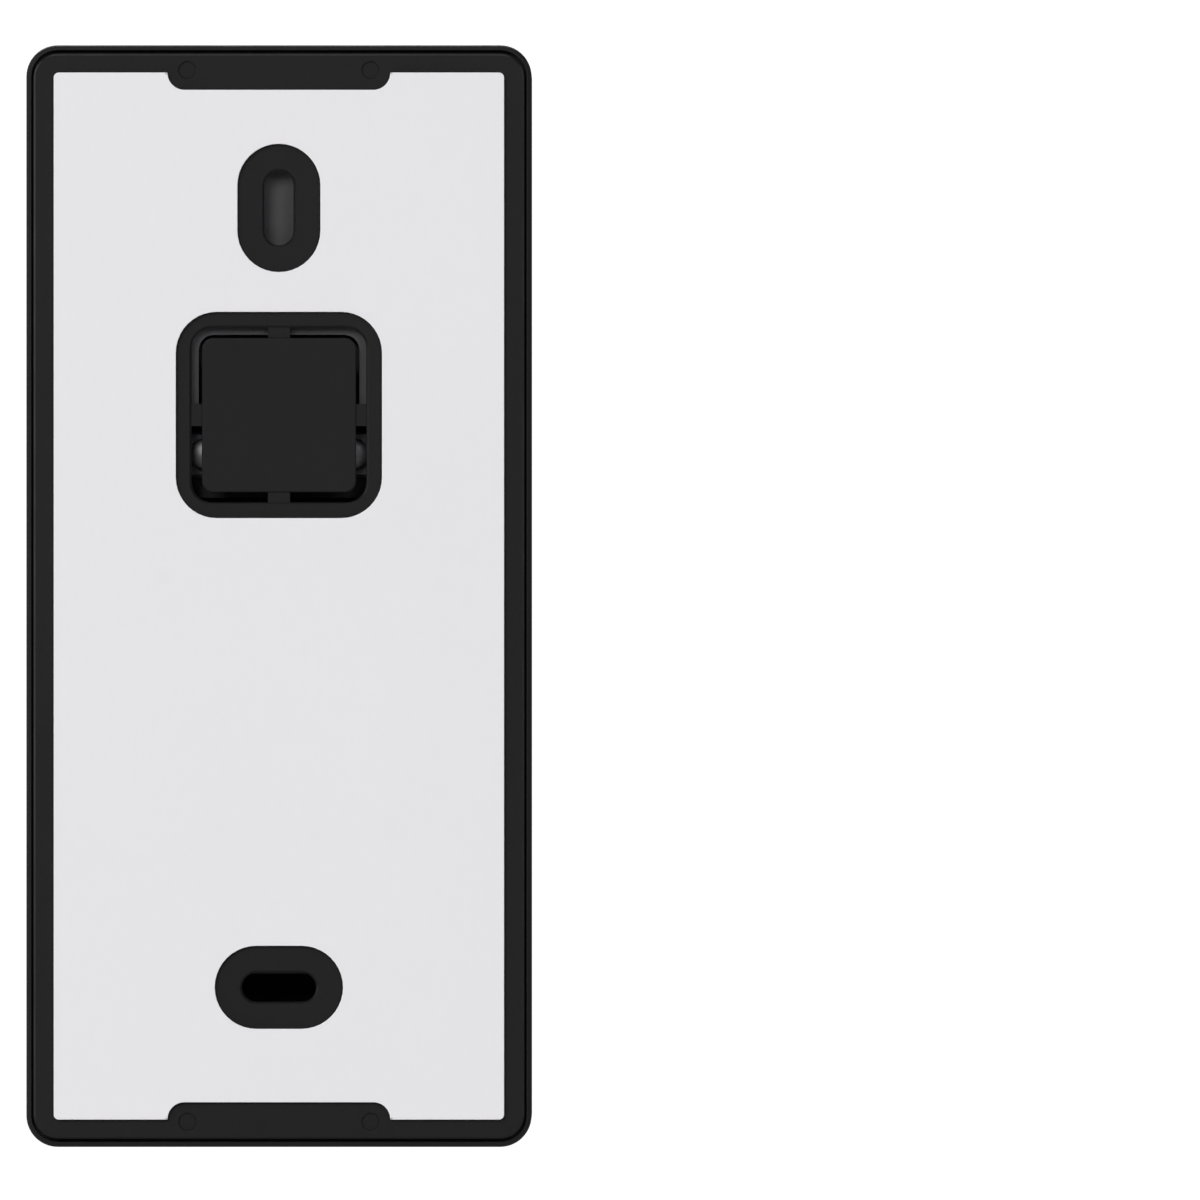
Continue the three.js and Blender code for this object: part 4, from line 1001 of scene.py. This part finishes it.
# ---- Call button ----
def build_button():
    """Call button with a rolled edge and a shallow dish, inside its light ring."""
    radius = size_of("call_button_cap")[0] / 2
    brim = radius - 1.9
    dish = [(brim - brim * t, 29.93 - 0.3 * (1 - (1 - t) ** 2)) for t in [i / 10 for i in range(11)]]
    cap = [(0, 26.9), (1.8, 26.9), (1.8, 27.6), (radius, 27.6), (radius, 29.4), (radius - 0.2, 29.75)]
    cap += [(radius - 0.7, 29.97), (radius - 1.2, 30), (radius - 1.6, 29.98), *dish]
    button = turned("call_button_fine", cap, 0, BUTTON_Z, edge=0.1)
    finish(button, "call_button_cap")
    low, high = span("light_ring")
    ring = [(12.2, low[1]), (14, low[1]), (14, high[1]), (12.2, high[1]), (12.2, low[1])]
    finish(turned("light_ring_fine", ring, 0, BUTTON_Z, edge=0.2), "light_ring")


# ---- Screws ----
def driver_cutter(name, arms, x, z, length, width, floor, back=1.0):
    """Blades of a cross or a straight slot for a screw head that faces the wall."""
    blades = []
    for arm in range(arms):
        half, thin = (length / 2, width / 2) if arm == 0 else (width / 2, length / 2)
        low, high = (x - half, back, z - thin), (x + half, floor, z + thin)
        blades.append(block(f"{name}_{arm}", low, high, edge=0))
    return blades


def build_terminal_screws():
    for index in (1, 2):
        node = f"terminal_screw_{index}"
        x, z = middle_of(node)
        back = span(node)[0][1]
        head = size_of(node)[0] / 2
        dome = [(head * math.sin(a), back + 0.9 * (1 - math.cos(a))) for a in sweep(12)]
        profile = [*dome, (head, 4.6), (1.25, 4.6), (1.25, 11.5), (0, 12)]
        screw = turned(node + "_fine", profile, x, z, steps=64)
        combined(screw, driver_cutter("slot", 1, x, z, 0.7, 6, back + 0.7), "DIFFERENCE")
        finish(screw, node)


def build_cover_screws():
    for index in range(1, 5):
        node = f"cover_screw_{index}"
        x, z = middle_of(node)
        back = span(node)[0][1]
        profile = [(0, back), (1.8, back), (2.4, back + 0.5), (2.4, 4.2), (1.2, 4.2), (1.2, 13), (0, 14)]
        screw = turned(node + "_fine", profile, x, z, edge=0.15, steps=64)
        combined(screw, driver_cutter("cross", 2, x, z, 2.6, 0.6, back + 0.7), "DIFFERENCE")
        finish(screw, node)


def build_security_screw():
    """Threaded screw with a round head and a hexagonal socket, upright in the underside."""
    low, high = span("security_screw")
    shaft, thread_pitch, thread_depth = SECURITY_SHAFT, 0.5, 0.18
    top, bottom = -low[2], -high[2]
    profile = [(0, bottom), (0.7, bottom)]
    depth = bottom + 0.6
    while depth < 68.6 - thread_pitch:
        profile += [(shaft - thread_depth, depth), (shaft, depth + thread_pitch / 2)]
        depth += thread_pitch
    profile += [(shaft, 68.5), (2.4, 68.5), (2.4, 69.4), (2.1, top), (0, top)]
    bm = turned_mesh(profile, 64)
    stood_up(bm, 0, SCREW_DEPTH, 0)
    screw = mesh_object("security_screw_fine", bm)
    socket = upright_disc("socket", 1.2, SCREW_DEPTH, -71, -69, steps=6)
    combined(screw, [socket], "DIFFERENCE")
    finish(screw, "security_screw")


# ---- Batteries ----
def build_cells():
    """AA cells: crimped metal ends, a nub, and a jacket that wraps over the shoulders."""
    for index in range(1, 5):
        node = f"battery_cell_{index}"
        low, high = span(node)
        x = (low[0] + high[0]) / 2
        depth = (low[1] + high[1]) / 2
        radius = (high[0] - low[0]) / 2
        length = high[2] - low[2]
        points = [(0, 0), (radius - 1.2, 0), (radius - 1.0, 0.2), (radius - 0.5, 0.2), (radius, 0.8)]
        points += [(radius, length - 1.7), (radius - 0.5, length - 1.2), (radius - 0.9, length - 1.1)]
        points += [(radius - 1.2, length - 1.5), (2.9, length - 1.5), (2.6, length - 0.2)]
        points += [(2.3, length), (0, length)]
        soft = softened(points, 0.2)
        bm = turned_mesh([(p.x, p.y) for p in soft], 64)
        up = index % 2 == 1
        # The profile runs along -Y, so a cell that points up is turned the other way.
        turn, foot = (-math.pi / 2, low[2]) if up else (math.pi / 2, high[2])
        stood_up(bm, x, depth, foot, turn)
        finish(mesh_object(node + "_fine", bm), node)


def build_springs():
    """Conical contact springs as fine round wire."""
    for index in range(1, 5):
        node = f"contact_spring_{index}"
        low, high = span(node)
        x = middle_of(f"battery_cell_{index}")[0]
        cell_low, cell_high = span(f"battery_cell_{index}")
        depth = (cell_low[1] + cell_high[1]) / 2
        wire = SPRING_WIRE
        up = index % 2 == 1
        start, end = (low[2] + wire, high[2] - wire) if up else (high[2] - wire, low[2] + wire)
        bm = bmesh.new()
        steps, sides, turns = 120, 12, 2.5
        rings = []
        for step in range(steps + 1):
            t = step / steps
            angle = 2 * math.pi * turns * t
            radius = 3.6 - 1.4 * t
            out = Vector((math.cos(angle), math.sin(angle), 0))
            centre = Vector((x, -depth, start + (end - start) * t)) + radius * out
            ring = []
            for side in range(sides):
                around = 2 * math.pi * side / sides
                offset = wire * (math.cos(around) * out + math.sin(around) * Vector((0, 0, 1)))
                ring.append(bm.verts.new((centre + offset) * MM))
            rings.append(ring)
        for first, second in zip(rings, rings[1:]):
            for i in range(sides):
                bm.faces.new((first[i - 1], first[i], second[i], second[i - 1]))
        bm.faces.new(rings[0])
        bm.faces.new(rings[-1])
        finish(mesh_object(node + "_fine", bm), node)


def build_cup():
    """Deep rubber cup behind the lower screw slot."""
    low, high = span("screw_relief_cup")
    x, z = middle_of("screw_relief_cup")
    outer, inner = rounded(16, 9, 4.5, x, z), rounded(14, 7, 3.5, x, z)
    soft, wall = 0.3, 1
    shell = Shell()
    first, last = shell.wall(outer, wall_profile(low[1], high[1], soft, 0.8))
    mouth, floor = shell.wall(inner, quarter(soft, low[1], 1) + [(0, high[1] - wall)], hole=True)
    shell.face(first, [mouth])
    shell.face(last)
    shell.face(floor)
    finish(shell.done("screw_relief_cup_fine"), "screw_relief_cup")


def build_rest():
    """Pieces whose CAD shape is right: the same shape with fine bevelled edges."""
    edges = {"rear_cover": 0.2, "battery_door": 0.18, "terminal_block": 0.2, "main_board": 0.06}
    edges["camera_ribbon"] = 0.0
    for node in sorted(set(frame["nodes"]) - BUILT):
        finish(refined(node, edges.get(node, 0.08)), node)


build_sheet()
build_bracket()
build_shell()
build_window()
build_camera()
build_motion_sensor()
build_acoustic_mesh()
build_button()
build_terminal_screws()
build_cover_screws()
build_security_screw()
build_cells()
build_springs()
build_cup()
build_rest()


# ---- Studio ----
def build_floor():
    bm = bmesh.new()
    bmesh.ops.create_circle(bm, cap_ends=True, radius=1.3, segments=96)
    floor = mesh_object("studio_floor", bm)
    floor.location.z = CAD_LOW.z - 105 * MM
    look = Look("studio_floor", (0.56, 0.56, 0.55), 0.9)
    look.paint(look.mixed(look.noise(900, detail=2), (0.55, 0.55, 0.54), (0.57, 0.57, 0.56)))
    look.set(specular_ior_level=0.1)
    floor.data.materials.append(look.material)


def area_light(name, place, width, height, power, colour=(1, 1, 1), target=(0, 0, 0)):
    data = bpy.data.lights.new(name, "AREA")
    data.shape = "RECTANGLE"
    data.size = width
    data.size_y = height
    data.energy = power
    data.color = colour
    light = bpy.data.objects.new(name, data)
    light.location = place
    light.rotation_euler = (Vector(target) - Vector(place)).to_track_quat("-Z", "Y").to_euler()
    light.visible_camera = False
    bpy.context.scene.collection.objects.link(light)


def build_lights():
    area_light("key_upper_left", (0.7, 2.1, 0.8), 0.9, 0.9, 25, (1.0, 0.99, 0.965))
    area_light("back_upper_right", (-0.8, 2.1, 0.7), 0.8, 0.8, 10, (0.97, 0.96, 1.0))
    area_light("back_low_left", (0.8, 2.1, -0.8), 0.8, 0.8, 11, (0.95, 0.94, 1.0))
    area_light("back_low_right", (-0.7, 2.1, -0.8), 0.8, 0.8, 12, (0.88, 0.87, 1.0))
    area_light("edge_left", (1.6, 0.1, 0.5), 0.3, 1.4, 11, (1.0, 0.99, 0.97))
    area_light("strip_right", (-1.3, 0.01, 0.0), 0.025, 1.8, 2.8, (0.95, 0.95, 1.0))
    area_light("front_above", (0.25, -1.6, 1.5), 1.3, 0.9, 34)
    area_light("overhead", (0, -0.2, 1.7), 1.4, 1.0, 12, target=(0, -0.2, 0))


def build_world():
    """White to the camera, soft grey for the light that it gives."""
    world = bpy.data.worlds.new("studio")
    world.use_nodes = True
    tree = world.node_tree
    background = tree.nodes["Background"]
    background.inputs["Color"].default_value = (0.84, 0.83, 1.0, 1)
    background.inputs["Strength"].default_value = 0.2
    seen = tree.nodes.new("ShaderNodeBackground")
    seen.inputs["Color"].default_value = (1, 1, 1, 1)
    seen.inputs["Strength"].default_value = 1.05
    path = tree.nodes.new("ShaderNodeLightPath")
    mix = tree.nodes.new("ShaderNodeMixShader")
    tree.links.new(path.outputs["Is Camera Ray"], mix.inputs[0])
    tree.links.new(background.outputs[0], mix.inputs[1])
    tree.links.new(seen.outputs[0], mix.inputs[2])
    tree.links.new(mix.outputs[0], tree.nodes["World Output"].inputs["Surface"])
    bpy.context.scene.world = world


def build_camera_view():
    """Long lens, level, square to the doorbell's back, which stands left of the picture's middle."""
    data = bpy.data.cameras.new("camera")
    data.sensor_width = 36
    data.lens = 1000
    data.clip_end = 60
    fill = 0.9185  # share of the picture's height that the body takes up
    aside = 0.2676  # share of the picture's width from its middle to the body's
    frame_width = (CAD_HIGH.z - CAD_LOW.z) / fill
    distance = frame_width * data.lens / data.sensor_width
    camera = bpy.data.objects.new("camera", data)
    camera.location = (-frame_width * aside, distance, -0.5 * MM)
    camera.rotation_euler = (math.pi / 2, 0, math.pi)
    bpy.context.scene.collection.objects.link(camera)
    bpy.context.scene.camera = camera


build_floor()
build_lights()
build_world()
build_camera_view()
bpy.context.scene.view_settings.view_transform = "Standard"
